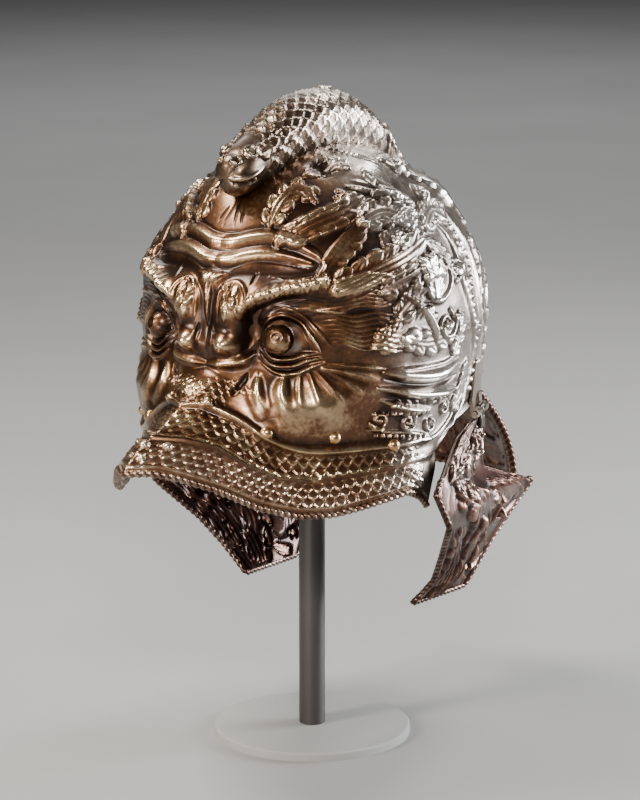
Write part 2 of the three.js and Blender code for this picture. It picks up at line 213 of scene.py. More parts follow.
def flowing(points, count=28):
    """A smooth line through the points."""
    points = np.asarray(points, float)
    if len(points) < 3:
        return points[0] + (points[-1] - points[0]) * np.linspace(0, 1, 8)[:, None]
    padded = np.vstack([2 * points[0] - points[1], points, 2 * points[-1] - points[-2]])
    out = []
    for at in np.linspace(0, len(points) - 1, count):
        i = min(int(at), len(points) - 2)
        s = at - i
        a, b, c, d = padded[i:i + 4]
        bend = (2 * a - 5 * b + 4 * c - d) * s ** 2 + (3 * b - a - 3 * c + d) * s ** 3
        out.append(0.5 * (2 * b + (c - a) * s + bend))
    return np.array(out)


class Skin:
    """The points of a sheet and the relief hammered into it."""

    def __init__(self, points):
        self.points = points
        normal = np.cross(np.gradient(points, axis=0), np.gradient(points, axis=1))
        self.normal = normal / np.maximum(np.linalg.norm(normal, axis=-1, keepdims=True), 1e-9)
        self.flat = points.reshape(-1, 3)
        self.out = self.normal.reshape(-1, 3)
        self.lift = np.zeros(len(self.flat))

    def beside(self, path, reach):
        """Where the sheet lies along a line: index, share of the length and distance."""
        near = np.all((self.flat > path.min(0) - reach) & (self.flat < path.max(0) + reach), axis=1)
        index = np.nonzero(near)[0]
        p = self.flat[index]
        best = np.full(len(index), 1e9)
        share = np.zeros(len(index))
        steps = len(path) - 1
        for i in range(steps):
            run = path[i + 1] - path[i]
            s = np.clip((p - path[i]) @ run / max(run @ run, 1e-9), 0, 1)
            gap = distance(p, path[i] + s[:, None] * run)
            hit = gap < best
            best = np.where(hit, gap, best)
            share = np.where(hit, (i + s) / steps, share)
        keep = best < reach
        return index[keep], share[keep], best[keep]

    def ridge(self, points, width, height, taper=0.35, end=None):
        """A rounded ridge, or a groove if the height is negative; its width can change towards the end."""
        index, share, gap = self.beside(flowing(points), max(width, end or 0) * 2.6)
        thin = fade(np.minimum(share, 1 - share), 0.25) * (1 - taper) + taper
        wide = width * thin
        if end:
            thin = np.sin(np.pi * (0.06 + 0.94 * share)) ** 0.8 * (1 - 0.4 * share)
            wide = width + (end - width) * share
        self.lift[index] += height * thin * hump(gap, wide)

    def strands(self, first, last, count, width, height):
        """Locks of hair or veins side by side between two lines."""
        first, last = flowing(first, 12), flowing(last, 12)
        for k in range(count):
            share = k / (count - 1)
            self.ridge((first + (last - first) * share)[::2], width, height, 0.2)

    def swelling(self, centre, spread, height):
        self.lift += height * np.exp(-np.linalg.norm((self.flat - centre) / spread, axis=1) ** 2)

    def pearl(self, centre, radius, height):
        gap = distance(self.flat, centre) / radius
        self.lift += np.where(gap < 1, height * np.sqrt(np.clip(1 - gap ** 2, 0, 1)), 0)

    def lobe(self, points, half_width, height):
        """One lobe of a leaf: a rounded tongue with a vein, which lies over what is below it."""
        index, share, gap = self.beside(flowing(points, 9), half_width)
        wide = half_width * np.clip(np.sin(np.pi * np.clip(0.10 + 0.90 * share, 0, 1) ** 0.9), 0, 1) ** 0.55
        body = np.clip(1 - (gap / np.maximum(wide, 0.1)) ** 2, 0, 1)
        vein = 0.28 * hump(gap, 0.9) * (1 - 0.6 * share)
        rise = height * (body ** 0.5 * (0.55 + 0.45 * share) - vein * np.minimum(1, 3 * body))
        self.work[index] = np.maximum(self.work[index], rise)

    def acanthus(self, points, half_width, height, lobes, sides=(1, -1), lean=48):
        """A leaf with a midrib and curved side lobes that lean towards its tip."""
        self.work = np.zeros(len(self.flat))
        path = flowing(points, 40)
        pitch = travelled(path)[-1] / (lobes + 0.6)
        for k in range(lobes):
            at = (k + 0.35) / (lobes + 0.6)
            i = int(at * 39)
            along = path[min(i + 1, 39)] - path[max(i - 1, 0)]
            along /= np.linalg.norm(along)
            out = self.out[np.argmin(distance(self.flat, path[i]))]
            for side in sides:
                swing = math.radians(lean * (1 - 0.25 * at)) * side
                away = along * math.cos(swing) + np.cross(out, along) * math.sin(swing)
                long = half_width * 1.25 * math.sin(math.pi * (0.24 + 0.66 * at)) ** 0.6
                tip = path[i] + away * long + along * long * 0.22
                self.lobe([path[i], path[i] + away * long * 0.55, tip], pitch * 0.56, height)
        self.lobe(path[int(39 * (lobes - 0.9) / (lobes + 0.6)):][::4], pitch * 0.62, height)
        index, share, gap = self.beside(path, half_width)
        wide = half_width * 0.62 * np.clip(np.sin(np.pi * (0.12 + 0.80 * share)), 0.05, 1) ** 0.7
        body = np.clip(1 - (gap / wide) ** 2, 0, 1) ** 0.5 * (1 - 0.35 * share)
        rib = 0.22 * hump(gap, 1.0) * (1 - share)
        self.work[index] = np.maximum(self.work[index], height * (0.92 * body - rib * (body > 0)))
        self.lift += self.work

    def scroll(self, centre, start, radius, turns, height, width=1.5, hand=1):
        """A spiral of embossed stem round a bead, lying in the sheet."""
        n = self.out[np.argmin(distance(self.flat, centre))]
        side = np.cross((0, 0, 1.0), n)
        side /= np.linalg.norm(side)
        up = np.cross(n, side)
        steps = np.linspace(0, 1, 30)
        angle = np.radians(start) + hand * steps * turns * 2 * np.pi
        away = radius * (1 - 0.85 * steps)
        path = centre + np.outer(away * np.cos(angle), side) + np.outer(away * np.sin(angle), up)
        index, share, gap = self.beside(path, width * 2.6)
        self.lift[index] += height * hump(gap, width * (1 - 0.45 * share))
        self.pearl(centre, radius * 0.24, height * 1.1)


def fish_scales(along, down, width, pitch):
    """Overlapping rounded scales that rise to their free lower edges, and marks of those edges."""
    rise, edge = np.zeros_like(along), np.zeros_like(along)
    for across, lower in ((-0.2, -0.2), (0.2, -0.2), (-0.2, 0.2), (0.2, 0.2)):
        a, d = along + across, down + lower
        done = np.zeros(along.shape, bool)
        for step in (-1, 0, 1):
            j = np.floor(d / pitch) + step
            centre = (np.round(a / width - 0.5 * (j % 2)) + 0.5 * (j % 2)) * width
            gap = np.hypot((a - centre) / (width * 0.56), (d - j * pitch) / (pitch * 1.15))
            hit = (gap < 1) & ~done & (d >= (j - 0.35) * pitch)
            rim = hump(gap - 0.91, 0.10)
            rise += np.where(hit, 0.25 * (0.1 + 0.5 * (d / pitch - j + 0.35) + 0.4 * rim), 0)
            edge += np.where(hit, 0.25 * rim, 0)
            done |= hit
    return rise, edge


def blurred(values, reach, wrap):
    """A running mean over rows and columns."""
    for axis in (0, 1):
        mode = "wrap" if wrap and axis == 1 else "edge"
        pad = [(0, 0), (0, 0)]
        pad[axis] = (reach + 1, reach)
        total = np.cumsum(np.pad(values, pad, mode=mode), axis=axis)
        size = values.shape[axis]
        high = np.take(total, np.arange(2 * reach + 1, 2 * reach + 1 + size), axis=axis)
        low = np.take(total, np.arange(size), axis=axis)
        values = (high - low) / (2 * reach + 1)
    return values


def mark_rub_and_shade(mesh, painted_shade_and_rub, silver):
    """How high and worn each point is, with the painted shade and painted highlights that go with it, and how
    far its steel is bare.
    """
    for name, value in (("painted_shade_and_rub", painted_shade_and_rub), ("silver", silver)):
        mark = mesh.attributes.new(name, "FLOAT", "POINT")
        mark.data.foreach_set("value", np.full(len(mesh.vertices), value, np.float32))


def sheet_object(name, points, painted_shade_and_rub, weld=False, smooth=None, silver=None):
    """A grid of faces bent to the points, with its worn tone and painted shade; the sides, rear and crown are
    bare unless told.
    """
    rows, cols = points.shape[:2]
    skin = bmesh.new()
    bmesh.ops.create_grid(skin, x_segments=cols - 1, y_segments=rows - 1, size=0.5)
    mesh = bpy.data.meshes.new(name)
    skin.to_mesh(mesh)
    skin.free()
    mesh.vertices.foreach_set("co", (points[::-1] / 1000).astype(np.float32).ravel())
    if silver is None:
        over_brow = 0.9 * np.maximum(points[..., 2] - 330, 0)
        silver = fade(np.abs(points[..., 0]) + 0.8 * points[..., 1] + over_brow - 30, 76)
    mark_rub_and_shade(mesh, painted_shade_and_rub[::-1].ravel(), np.broadcast_to(silver, (rows, cols))[::-1].ravel())
    if weld:
        skin = bmesh.new()
        skin.from_mesh(mesh)
        bmesh.ops.remove_doubles(skin, verts=skin.verts, dist=0.000004)
        bmesh.ops.recalc_face_normals(skin, faces=skin.faces)
        skin.to_mesh(mesh)
        skin.free()
    mesh.shade_smooth()
    if smooth is not None:
        mesh.update()
        mesh.normals_split_custom_set_from_vertices(smooth[::-1].reshape(-1, 3).tolist())
    piece = bpy.data.objects.new(name, mesh)
    bpy.context.scene.collection.objects.link(piece)
    return piece


def thicken(sheet, metres):
    """The thickness of the plate, added on its inside."""
    plate = sheet.modifiers.new("plate_thickness", "SOLIDIFY")
    plate.thickness = metres
    plate.offset = -1


def worn_steel(name, recess, middle, bright, gloss=0.0):
    """Patinated steel: dark in the recesses from patina and painted shade, worn bright and painted light on
    the high work, grey where it is bare.
    """
    finish = bpy.data.materials.new(name)
    finish.use_nodes = True
    tree = finish.node_tree
    new, link = tree.nodes.new, tree.links.new
    shader = tree.nodes["Principled BSDF"]
    shader.inputs["Metallic"].default_value = 0.93
    shader.inputs["Coat Weight"].default_value = 0.35
    shader.inputs["Coat Roughness"].default_value = 0.20
    shader.inputs["Coat Tint"].default_value = (1.0, 0.95, 0.86, 1)
    painted_shade_and_rub, silver = new("ShaderNodeAttribute"), new("ShaderNodeAttribute")
    painted_shade_and_rub.attribute_name, silver.attribute_name = "painted_shade_and_rub", "silver"
    place = new("ShaderNodeTexCoord")
    patches, specks = new("ShaderNodeTexNoise"), new("ShaderNodeTexNoise")
    patches.inputs["Scale"].default_value = 55
    patches.inputs["Detail"].default_value = 8
    specks.inputs["Scale"].default_value = 420
    specks.inputs["Detail"].default_value = 4
    for noise in (patches, specks):
        link(place.outputs["Object"], noise.inputs["Vector"])

    def weighed(noise, weight):
        """A noise times its weight, plus what is linked to the third input."""
        total = new("ShaderNodeMath")
        total.operation = "MULTIPLY_ADD"
        total.inputs[1].default_value = weight
        link(noise.outputs["Fac"], total.inputs[0])
        return total

    # The tone is each point's painted shade and rub, with random patches and specks of patina over it.
    rub_patina_and_shade = weighed(patches, 0.9)
    lowered = new("ShaderNodeMath")
    lowered.operation = "ADD"
    lowered.inputs[1].default_value = -0.72
    link(painted_shade_and_rub.outputs["Fac"], lowered.inputs[0])
    speckled = weighed(specks, 0.5)
    link(lowered.outputs["Value"], speckled.inputs[2])
    link(speckled.outputs["Value"], rub_patina_and_shade.inputs[2])
    ramps = []
    bare_tones = ((0.035, 0.024, 0.019), (0.22, 0.190, 0.170), (0.60, 0.575, 0.55))
    for low, mid, high in ((recess, middle, bright), bare_tones):
        ramp = new("ShaderNodeValToRGB")
        tones = ramp.color_ramp.elements
        tones[0].position, tones[0].color = 0.12, (*low, 1)
        tones[1].position, tones[1].color = 0.92, (*high, 1)
        tones.new(0.5).color = (*mid, 1)
        link(rub_patina_and_shade.outputs["Value"], ramp.inputs["Fac"])
        ramps.append(ramp)
    uneven = weighed(patches, 0.7)
    link(silver.outputs["Fac"], uneven.inputs[2])
    bare = new("ShaderNodeMapRange")
    bare.interpolation_type = "SMOOTHSTEP"
    bare.inputs["From Min"].default_value = 0.45
    bare.inputs["From Max"].default_value = 1.25
    link(uneven.outputs["Value"], bare.inputs["Value"])
    colour = new("ShaderNodeMix")
    colour.data_type = "RGBA"
    link(bare.outputs["Result"], colour.inputs["Factor"])
    link(ramps[0].outputs["Color"], colour.inputs[6])
    link(ramps[1].outputs["Color"], colour.inputs[7])
    link(colour.outputs[2], shader.inputs["Base Color"])
    dull = new("ShaderNodeMapRange")
    dull.inputs["From Min"].default_value = 0.1
    dull.inputs["From Max"].default_value = 0.9
    dull.inputs["To Min"].default_value = 0.38 - gloss
    dull.inputs["To Max"].default_value = 0.22 - gloss
    link(rub_patina_and_shade.outputs["Value"], dull.inputs["Value"])
    link(dull.outputs["Result"], shader.inputs["Roughness"])
    grain = new("ShaderNodeBump")
    grain.inputs["Strength"].default_value = 0.2
    grain.inputs["Distance"].default_value = 0.0006
    link(specks.outputs["Fac"], grain.inputs["Height"])
    link(grain.outputs["Normal"], shader.inputs["Normal"])
    return finish


# Each steel is given by the tones of its recesses, its middle and its high work; these tones also carry
# painted shade and painted highlights.
bowl_steel = worn_steel(
    "bronzed_bowl_steel", (0.020, 0.008, 0.004), (0.105, 0.044, 0.018), (0.46, 0.33, 0.20))

# The half bowl's grid is finest over the mask, which is one mesh up to this bearing and
# from this row on; the rows above it are the brow's mesh and the bearings behind it the skull's.
MASK_END = 104
BROW_ROWS = 150
CROWN_SHARE = 0.04
half_bearings = np.concatenate([
    np.linspace(0, 66, 210, endpoint=False), np.linspace(66, MASK_END, 74, endpoint=False),
    np.linspace(MASK_END, 180, 77)])
outer_rows = np.concatenate([
    np.linspace(0.004, 0.15, 14, endpoint=False), np.linspace(0.15, 0.30, 44, endpoint=False),
    np.linspace(0.30, 1, 248)])
half_turn, half_down = np.meshgrid(half_bearings, outer_rows)
bowl_half = Skin(plain_bowl(half_turn, half_down))

# Large masses of the mask: bearing, height, spread across and up, lift.
for bearing, height, across, up, lift in (
    (9, 308, 9, 12, 6.0), (15, 317, 9, 8, 3.5), (15.6, 294, 6.5, 13, -9.5), (13.5, 283, 4, 6, -2.5),
    (1, 324, 6, 6, 3), (34, 247, 26, 14, 7.5), (50, 258, 18, 10, 3), (2, 257, 15, 8, 4.5),
    (30, 300, 12, 6, -2.5), (0, 300, 5, 14, -2.5), (16, 372, 20, 13, 2.5), (20, 315, 8, 6, 4.5),
    (28, 320, 12, 6, 5.0), (38, 323, 12, 7, 3.5), (47, 317, 14, 9, 3.0), (62, 333, 22, 10, 3),
    (75, 385, 22, 10, 4), (122, 365, 25, 12, 4), (42, 388, 8, 6, -6), (84, 322, 16, 14, 3),
    (16, 330, 20, 4, -1.5), (56, 284, 22, 18, 3.0), (29, 233, 26, 7, 2.5), (6.6, 285.5, 7.5, 6.2, 8.0),
    (8, 262, 8, 5, -1.5)):
    bowl_half.swelling(spot(bearing, height), np.array([across, across, up], float), lift)

# Eye: a ball with a ringed pupil between heavy lids and hanging folds.
eye = spot(23.5, 290)
from_eye = distance(bowl_half.flat, eye)
bowl_half.lift += -3.5 * hump(from_eye, 13)
bowl_half.lift += np.where(from_eye < 9.4, 1.0 * np.sqrt(np.clip(88 - from_eye ** 2, 0, None)), 0)
from_pupil = distance(bowl_half.flat - eye, (0, 0, 2.0))
bowl_half.lift += 0.7 * hump(from_pupil - 3.5, 0.7) - 0.6 * hump(from_pupil - 2.2, 0.7)
for line, width, lift in (
    ([(18, 289), (19.5, 300), (24.5, 305), (30.5, 301), (34, 291), (37, 281)], 1.5, 3.0),
    ([(20, 304), (25, 309), (31, 305), (36, 295), (40, 286)], 1.2, 1.6),
    ([(18.3, 286), (22, 278.5), (27.5, 278), (31.5, 280.5), (36, 281.5)], 1.3, 3.2),
    ([(18, 281), (22, 274.3), (28, 273.8), (32.5, 277), (37.5, 278.5)], 1.3, 2.9),
    ([(18, 276), (23, 269.5), (29, 269), (34, 273), (38.5, 275.5)], 1.3, 2.2),
    ([(17.7, 283.5), (22, 276.3), (27.5, 275.8), (32, 279)], 0.8, -1.4),
    ([(17.5, 278.5), (22.5, 271.8), (28, 271.3), (33, 275)], 0.8, -1.4)):
    bowl_half.ridge(spots(line), width, lift)

# Nose ridge, frown folds, brow and cheek: each line with its width at both ends and lift.
for line, width, end, lift in (
    ([(0, 272), (6, 273), (12, 275.5), (16, 280)], 3.2, 2.0, 3.4),
    ([(3, 279), (3.2, 288), (2.8, 297)], 1.2, 1.2, -2.2),
    ([(-5, 347.2), (0, 346.8), (5, 347.3), (11, 349.8), (18.5, 351), (27, 347.5), (34, 342), (38, 338)],
     3.6, 2.8, 2.2),
    ([(-5, 336.5), (0, 336), (5, 336.6), (11, 339.8), (17.5, 341.3), (25.5, 340), (34, 336)], 3.4, 2.6, 2.5),
    ([(-5, 342), (0, 341.6), (5, 342), (11, 344.8), (18, 346.3), (26, 344), (34, 339.5)], 0.9, 0.8, -0.6),
    ([(-5, 352.2), (0, 351.8), (5, 352.3), (11, 354.8), (18.5, 356), (28, 352), (36, 345)], 0.9, 0.7, -0.7),
    ([(-5, 331), (0, 330.6), (5, 331.2), (11, 335), (17.5, 336.6), (25.5, 335.5), (33, 332)], 0.9, 0.8, -0.9),
    ([(36, 340), (38, 334), (35, 328.5), (28, 325.5), (20, 328)], 1.1, 0.9, 1.8),
    ([(13, 303), (14, 310), (19, 316.5), (26, 320.5), (33, 322), (39, 325)], 3.6, 4.0, 3.8),
    ([(15.5, 302), (18.5, 309), (25, 314), (33, 315.5)], 1.4, 1.2, -2.2),
    ([(14.5, 322), (16, 331)], 0.7, 0.7, -1.0),
    ([(4.2, 300), (3.9, 311), (5.2, 320), (9.5, 324), (13, 319), (14, 311)], 1.3, 1.2, 1.5),
    ([(0, 297), (0.3, 310), (0.8, 321)], 1.4, 1.2, 3.0),
    ([(30.5, 270), (30, 262), (30, 252), (31, 246)], 0.9, 3.2, 1.4),
    ([(33, 270.5), (34.5, 261), (36, 251), (36.5, 245)], 0.9, 2.8, 1.4),
    ([(35, 271), (39, 262), (42.5, 252), (43.5, 247)], 0.9, 2.8, 1.4),
    ([(36.5, 272), (43.5, 265), (49, 256), (50.5, 251)], 0.9, 2.6, 1.3),
    ([(37.5, 272), (47.5, 268), (57, 262)], 0.9, 3.0, 2.4),
    ([(39, 274), (50, 272), (60, 268)], 0.9, 1.8, 1.4),
    ([(25.5, 268), (24.6, 256), (27, 236)], 2.4, 7.0, 4.6),
    ([(17.6, 267), (17.6, 256), (20.5, 240)], 2.0, 5.8, 4.0),
    ([(58.5, 266.5), (69.5, 262), (84, 259), (100, 263)], 4.0, 4.6, 5.0),
    ([(56, 257), (72, 249.5), (86, 246), (99, 245)], 3.4, 4.4, 5.0),
    ([(57, 249), (68, 241), (80, 237)], 2.0, 3.0, 3.4),
    ([(59, 262), (72, 255.5), (90, 252.5), (99, 254)], 1.2, 1.3, -2.0),
    ([(60, 268), (74, 266), (90, 266), (101, 271)], 1.0, 1.0, 1.8),
    ([(14, 268), (12.5, 262), (10.5, 255)], 1.8, 1.8, -2.4),
    ([(2.5, 356), (0.8, 367), (0.5, 376)], 0.7, 0.7, -0.9),
    ([(5.5, 357), (3.6, 366)], 0.6, 0.6, -0.8),
    ([(18, 358), (16, 366)], 0.6, 0.6, -0.8),
    ([(69, 312), (76, 303), (81, 290), (82.5, 279)], 1.8, 1.4, 2.8),
    ([(93, 331), (95.5, 318), (88, 306.5), (77, 307)], 1.4, 1.4, 2.6),
    ([(100, 352), (105, 338), (104, 318), (107.5, 300), (112, 278), (113, 258), (110, 240)], 1.8, 1.8, 3.2),
    ([(114, 356), (119, 338), (118, 318), (119, 298), (122, 272), (123, 250), (121, 236)], 1.8, 1.8, 3.2),
    ([(90, 216), (98, 224), (105, 233), (110, 244)], 1.6, 2.0, 2.6),
    ([(76, 218), (86, 219), (96, 227), (103, 238)], 1.1, 1.1, 2.0),
    ([(52, 231), (60, 228), (70, 225), (80, 221)], 1.1, 1.1, 1.8),
    ([(127, 240), (128, 270), (131, 300), (134, 330)], 1.4, 1.4, 2.0)):
    bowl_half.ridge(spots(line), width, lift, end=end if end > 2 * width else None)
SHELLS = (
    (6.6, 318), (9.8, 318), (6.4, 311), (9.6, 311), (11.8, 305), (7.2, 304), (15.4, 310.5), (17.8, 314.5),
    (20.4, 317), (23.2, 318.6), (26.2, 320), (29.2, 320.8), (32.2, 321.4), (35.2, 322.6), (38.2, 324))
for bearing, height in SHELLS:
    shell = spots(((bearing - 0.2, height + 3.6), (bearing, height), (bearing + 0.2, height - 4.0)))
    bowl_half.work = np.zeros(len(bowl_half.flat))
    bowl_half.lobe(shell, 2.7, 2.1)
    bowl_half.lift += bowl_half.work

# Locks and veins: first line, last line, how many, width, lift.
for first, last, count, width, lift in (
    ([(20, 321), (31, 327), (44, 324), (54, 328), (62, 325), (68, 331)],
     [(21, 306), (32, 309), (43, 306), (52, 310), (60, 307), (69, 313)], 9, 1.0, 1.9),
    ([(30, 305), (40, 307), (49, 303), (57, 305), (63, 301), (69, 304)],
     [(39, 288), (46, 286), (52, 282), (58, 283), (64, 278), (70, 280)], 8, 1.0, 1.7),
    ([(46, 397), (64, 396), (84, 388), (101, 378)],
     [(52, 378), (66, 374), (82, 369), (97, 366)], 9, 1.0, 2.8),
    ([(22, 352), (33, 362), (46, 369), (57, 374)], [(26, 345), (37, 351), (48, 356), (58, 362)], 5, 0.9, 0.9),
    ([(44, 321), (56, 330), (70, 337), (84, 344)], [(46, 312), (58, 319), (72, 325), (86, 333)], 5, 1.0, 1.0),
    ([(1, 322), (-1, 327), (-4, 329)], [(1, 322), (4, 327.5), (8, 328)], 5, 0.9, 1.3)):
    bowl_half.strands(spots(first), spots(last), count, width, lift)

# Leaves that sweep back from the brow over the temple and the crown, then
# the scrolls between them: midrib, half width, lift, lobes, sides, lean.
for line, half_width, lift, lobes, sides, lean in (
    ([(22, 347), (33, 356), (46, 363), (60, 371)], 12, 3.0, 6, (-1, 1), 34),
    ([(42, 318), (55, 327), (69, 334), (86, 344)], 14, 3.6, 7, (1,), 42),
    ([(37, 327), (42, 338), (49, 349), (55, 359)], 10, 3.0, 6, (-1,), 46),
    ([(17.5, 357), (20.5, 369), (28, 377), (36, 370)], 8, 3.0, 5, (1, -1), 55),
    ([(55, 357), (67.5, 362), (79, 358), (90, 349)], 10, 3.0, 6, (1, -1), 50),
    ([(83.5, 307), (83, 320), (81.5, 334)], 9, 3.4, 4, (1, -1), 58),
    ([(55, 284), (64, 290), (74, 294), (83, 297)], 10, 3.2, 5, (1, -1), 50),
    ([(64, 300), (71, 309), (76, 318)], 8, 2.8, 4, (1, -1), 50),
    ([(90, 350), (101, 357), (113, 354)], 9, 3.0, 5, (1, -1), 50),
    ([(103, 388), (116, 383), (127, 370), (131, 356)], 11, 3.6, 6, (1, -1), 50),
    ([(70, 383), (82, 372), (92, 364)], 7, 2.4, 4, (-1,), 50),
    ([(94, 270), (98, 282), (98, 296)], 7, 2.8, 4, (1, -1), 55),
    ([(98, 232), (104, 246), (107, 262)], 6, 2.4, 4, (1, -1), 50),
    ([(138, 245), (138, 275), (145, 308), (157, 334)], 17, 3.8, 8, (1, -1), 48),
    ([(172, 236), (163, 262), (166, 292), (176, 314)], 13, 3.4, 7, (1, -1), 48),
    ([(142, 342), (156, 358), (169, 367)], 12, 3.2, 6, (1, -1), 48),
    ([(124, 300), (131, 316), (133, 336)], 8, 2.8, 5, (1, -1), 50),
    ([(58, 316), (70, 322), (82, 327), (93, 324)], 8, 2.6, 6, (1, -1), 42),
    ([(66, 287), (78, 281), (90, 283), (99, 293)], 8, 2.6, 6, (1, -1), 46),
    ([(86, 341), (93, 335), (99, 326)], 6, 2.4, 4, (1, -1), 50),
    ([(63, 344), (74, 352), (85, 358)], 7, 2.4, 5, (1, -1), 46),
    ([(68, 372), (80, 366), (90, 358)], 6, 2.2, 4, (1,), 46),
    ([(30, 384), (44, 389), (60, 388)], 8, 2.4, 5, (-1, 1), 42),
    ([(62, 243), (72, 240), (84, 241)], 5, 2.0, 5, (1, -1), 46)):
    bowl_half.acanthus(spots(line), half_width, lift, lobes, sides, lean)
for bearing, height, start, radius, turns, hand in (
    (89, 290, 60, 10, 1.6, -1), (72, 346, 180, 6, 1.4, 1), (100, 322, 250, 8, 1.6, 1),
    (106, 368, 120, 7, 1.5, 1), (57, 236, 200, 6, 1.5, 1), (69, 232, 20, 6, 1.4, -1),
    (81, 228, 160, 5.5, 1.4, 1), (152, 300, 0, 9, 1.7, 1), (150, 262, 90, 8, 1.6, -1),
    (175, 338, 90, 8, 1.5, 1), (48, 372, 90, 5, 1.3, -1), (90, 236, 30, 5, 1.3, -1),
    (112, 384, 200, 6, 1.3, 1), (109, 312, 30, 4, 1.2, -1), (115, 282, 200, 4, 1.2, 1),
    (112, 332, 90, 4, 1.2, 1)):
    bowl_half.scroll(spot(bearing, height), start, radius, turns, 2.4, 1.3, hand)
for k in range(20):
    bowl_half.pearl(spot(113.5 + 2.2 * math.sin(k * 0.5), 240 + 5.6 * k), 2.2, 2.2)
for k in range(9):
    bowl_half.pearl(spot(56 + 2.6 * k, 226 - 0.6 * k), 1.5, 1.5)
    bowl_half.pearl(spot(55 + 2.6 * k, 240 - 0.5 * k), 1.4, 1.4)

# Snout and upper lip: rolled line with overlapping scales below it.
ROLL_UP = np.array([
    (0, 249), (4.5, 249), (10.5, 244), (15.5, 237), (20.5, 229), (25.5, 224), (32, 220), (39.5, 219),
    (47.5, 219), (56, 219), (66.5, 219), (80, 219)], float)
turn = half_turn.ravel()
height = bowl_half.flat[:, 2]
roll_height = np.interp(turn, ROLL_UP[:, 0], ROLL_UP[:, 1])
below = distance(bowl_half.flat, spot(turn, roll_height)) * np.sign(roll_height - height)
lip_line = spot(half_bearings, np.interp(half_bearings, ROLL_UP[:, 0], ROLL_UP[:, 1]))
around = np.interp(turn, half_bearings, travelled(lip_line))
on_lip = fade(below - 2.6, 1.5) * fade(76 - turn, 6)
lip_rise, lip_edge = fish_scales(around, below, 7.2, 4.8)
bowl_half.lift += on_lip * (1.3 * lip_rise - 0.3)
on_snout = fade(10.5 - turn - np.clip(below + 14, -9, 0), 3) * fade(-below - 3, 1.5) * fade(below + 24, 4)
snout_rise, snout_edge = fish_scales(around, below + 40, 6.4, 4.5)
bowl_half.lift += on_snout * (1.2 * snout_rise - 0.3)
bowl_half.ridge(spots(ROLL_UP), 2.6, 3.4, taper=0.8)
bowl_half.pearl(spot(5.5, 250), 3.6, 3.0)
at_edge = distance(bowl_half.flat, plain_bowl(turn, np.ones_like(turn)))
bowl_half.lift += 2.2 * hump(at_edge - 0.5, 2.6) * fade(86 - turn, 10)
bowl_half.lift += 1.8 * hump(at_edge - 2, 1.8) * fade(turn - 88, 8)

# The relief goes onto the bowl. Its shade is dark in the hollows, as patina and painted shade, and lighter on
# what stands high, with painted highlights at the cheek, forehead and snout.
lift = bowl_half.lift.reshape(half_turn.shape)
lift = 0.7 * lift + 0.3 * blurred(lift, 1, False)
lift *= fade(half_down, CROWN_SHARE)
outer_half = bowl_half.points + bowl_half.normal * lift[..., None]
fine = lift - blurred(lift, 10, False)
from_eye, from_pupil = from_eye.reshape(lift.shape), from_pupil.reshape(lift.shape)
# Painted shade: darker where the relief lies lower than round it, lighter where it stands higher.
shade_half = np.clip(0.48 + np.where(fine < 0, 0.34, 0.18) * fine + 0.012 * np.minimum(lift, 6), 0, 1)
# The eyeball is kept from the lightest tones of the painted shade.
shade_half = np.where(from_eye < 9, np.minimum(shade_half, 0.57), shade_half)
# Painted light on the lip: lighter all over, and lighter along the edges of its scales and the snout's.
shade_half += (on_lip * (0.12 + 0.20 * lip_edge) + on_snout * 0.20 * snout_edge).reshape(lift.shape)
# Painted highlights at the cheek, forehead and snout; painted shadow in the recess by the crest and at the
# inner corner of the eye.
for place, across, up, tone, power in (
    ((38, 246), 24, 14, 0.16, 2), ((12, 366), 16, 12, 0.10, 2), ((4, 262), 10, 7, 0.06, 2),
    ((40, 389), 9, 7, -0.7, 4), ((15.4, 293), 9, 14, -0.9, 4)):
    away = (bowl_half.points - spot(*place)) / (across, across, up)
    shade_half += tone * np.exp(-np.linalg.norm(away, axis=-1) ** power)
# Painted shade round the eye socket and in the groove round the pupil.
shade_half -= 0.20 * hump(from_eye - 13, 6)
shade_half -= 0.55 * hump(from_pupil - 2.3, 0.8)
flip = np.array([-1, 1, 1])
mask_cols = int(np.sum(half_bearings <= MASK_END + 0.001))
flipped = outer_half[:, ::-1] * flip
whole = np.concatenate([flipped[:, :-1], outer_half, flipped[:, 1:3]], axis=1)
facing = Skin(whole).normal
middle = outer_half.shape[1] - 1
inner_share = np.linspace(1, 0.004, 30)
inner_turn, inner_down = np.meshgrid(half_bearings, inner_share)
inner_skin = Skin(plain_bowl(inner_turn, inner_down))
relief = blurred(lift, 5, False)
sampled = np.array([np.interp(inner_share[::-1], outer_rows, column)[::-1] for column in relief.T]).T
inner_half = inner_skin.points + inner_skin.normal * (2.3 - np.minimum(sampled, 3.0) * 0.8)[..., None]
inner_half = np.concatenate([outer_half[-1:], inner_half])
mask_shade = np.concatenate([shade_half[:, 1:mask_cols][:, ::-1], shade_half[:, :mask_cols]], axis=1)
skull_half, skull_shade = outer_half[:, mask_cols - 1:], shade_half[:, mask_cols - 1:]
mask = np.s_[:, middle - mask_cols + 1:middle + mask_cols]
mask_points, mask_facing = whole[mask], facing[mask]
skull_facing = facing[:, middle + mask_cols - 1:2 * middle + 1]
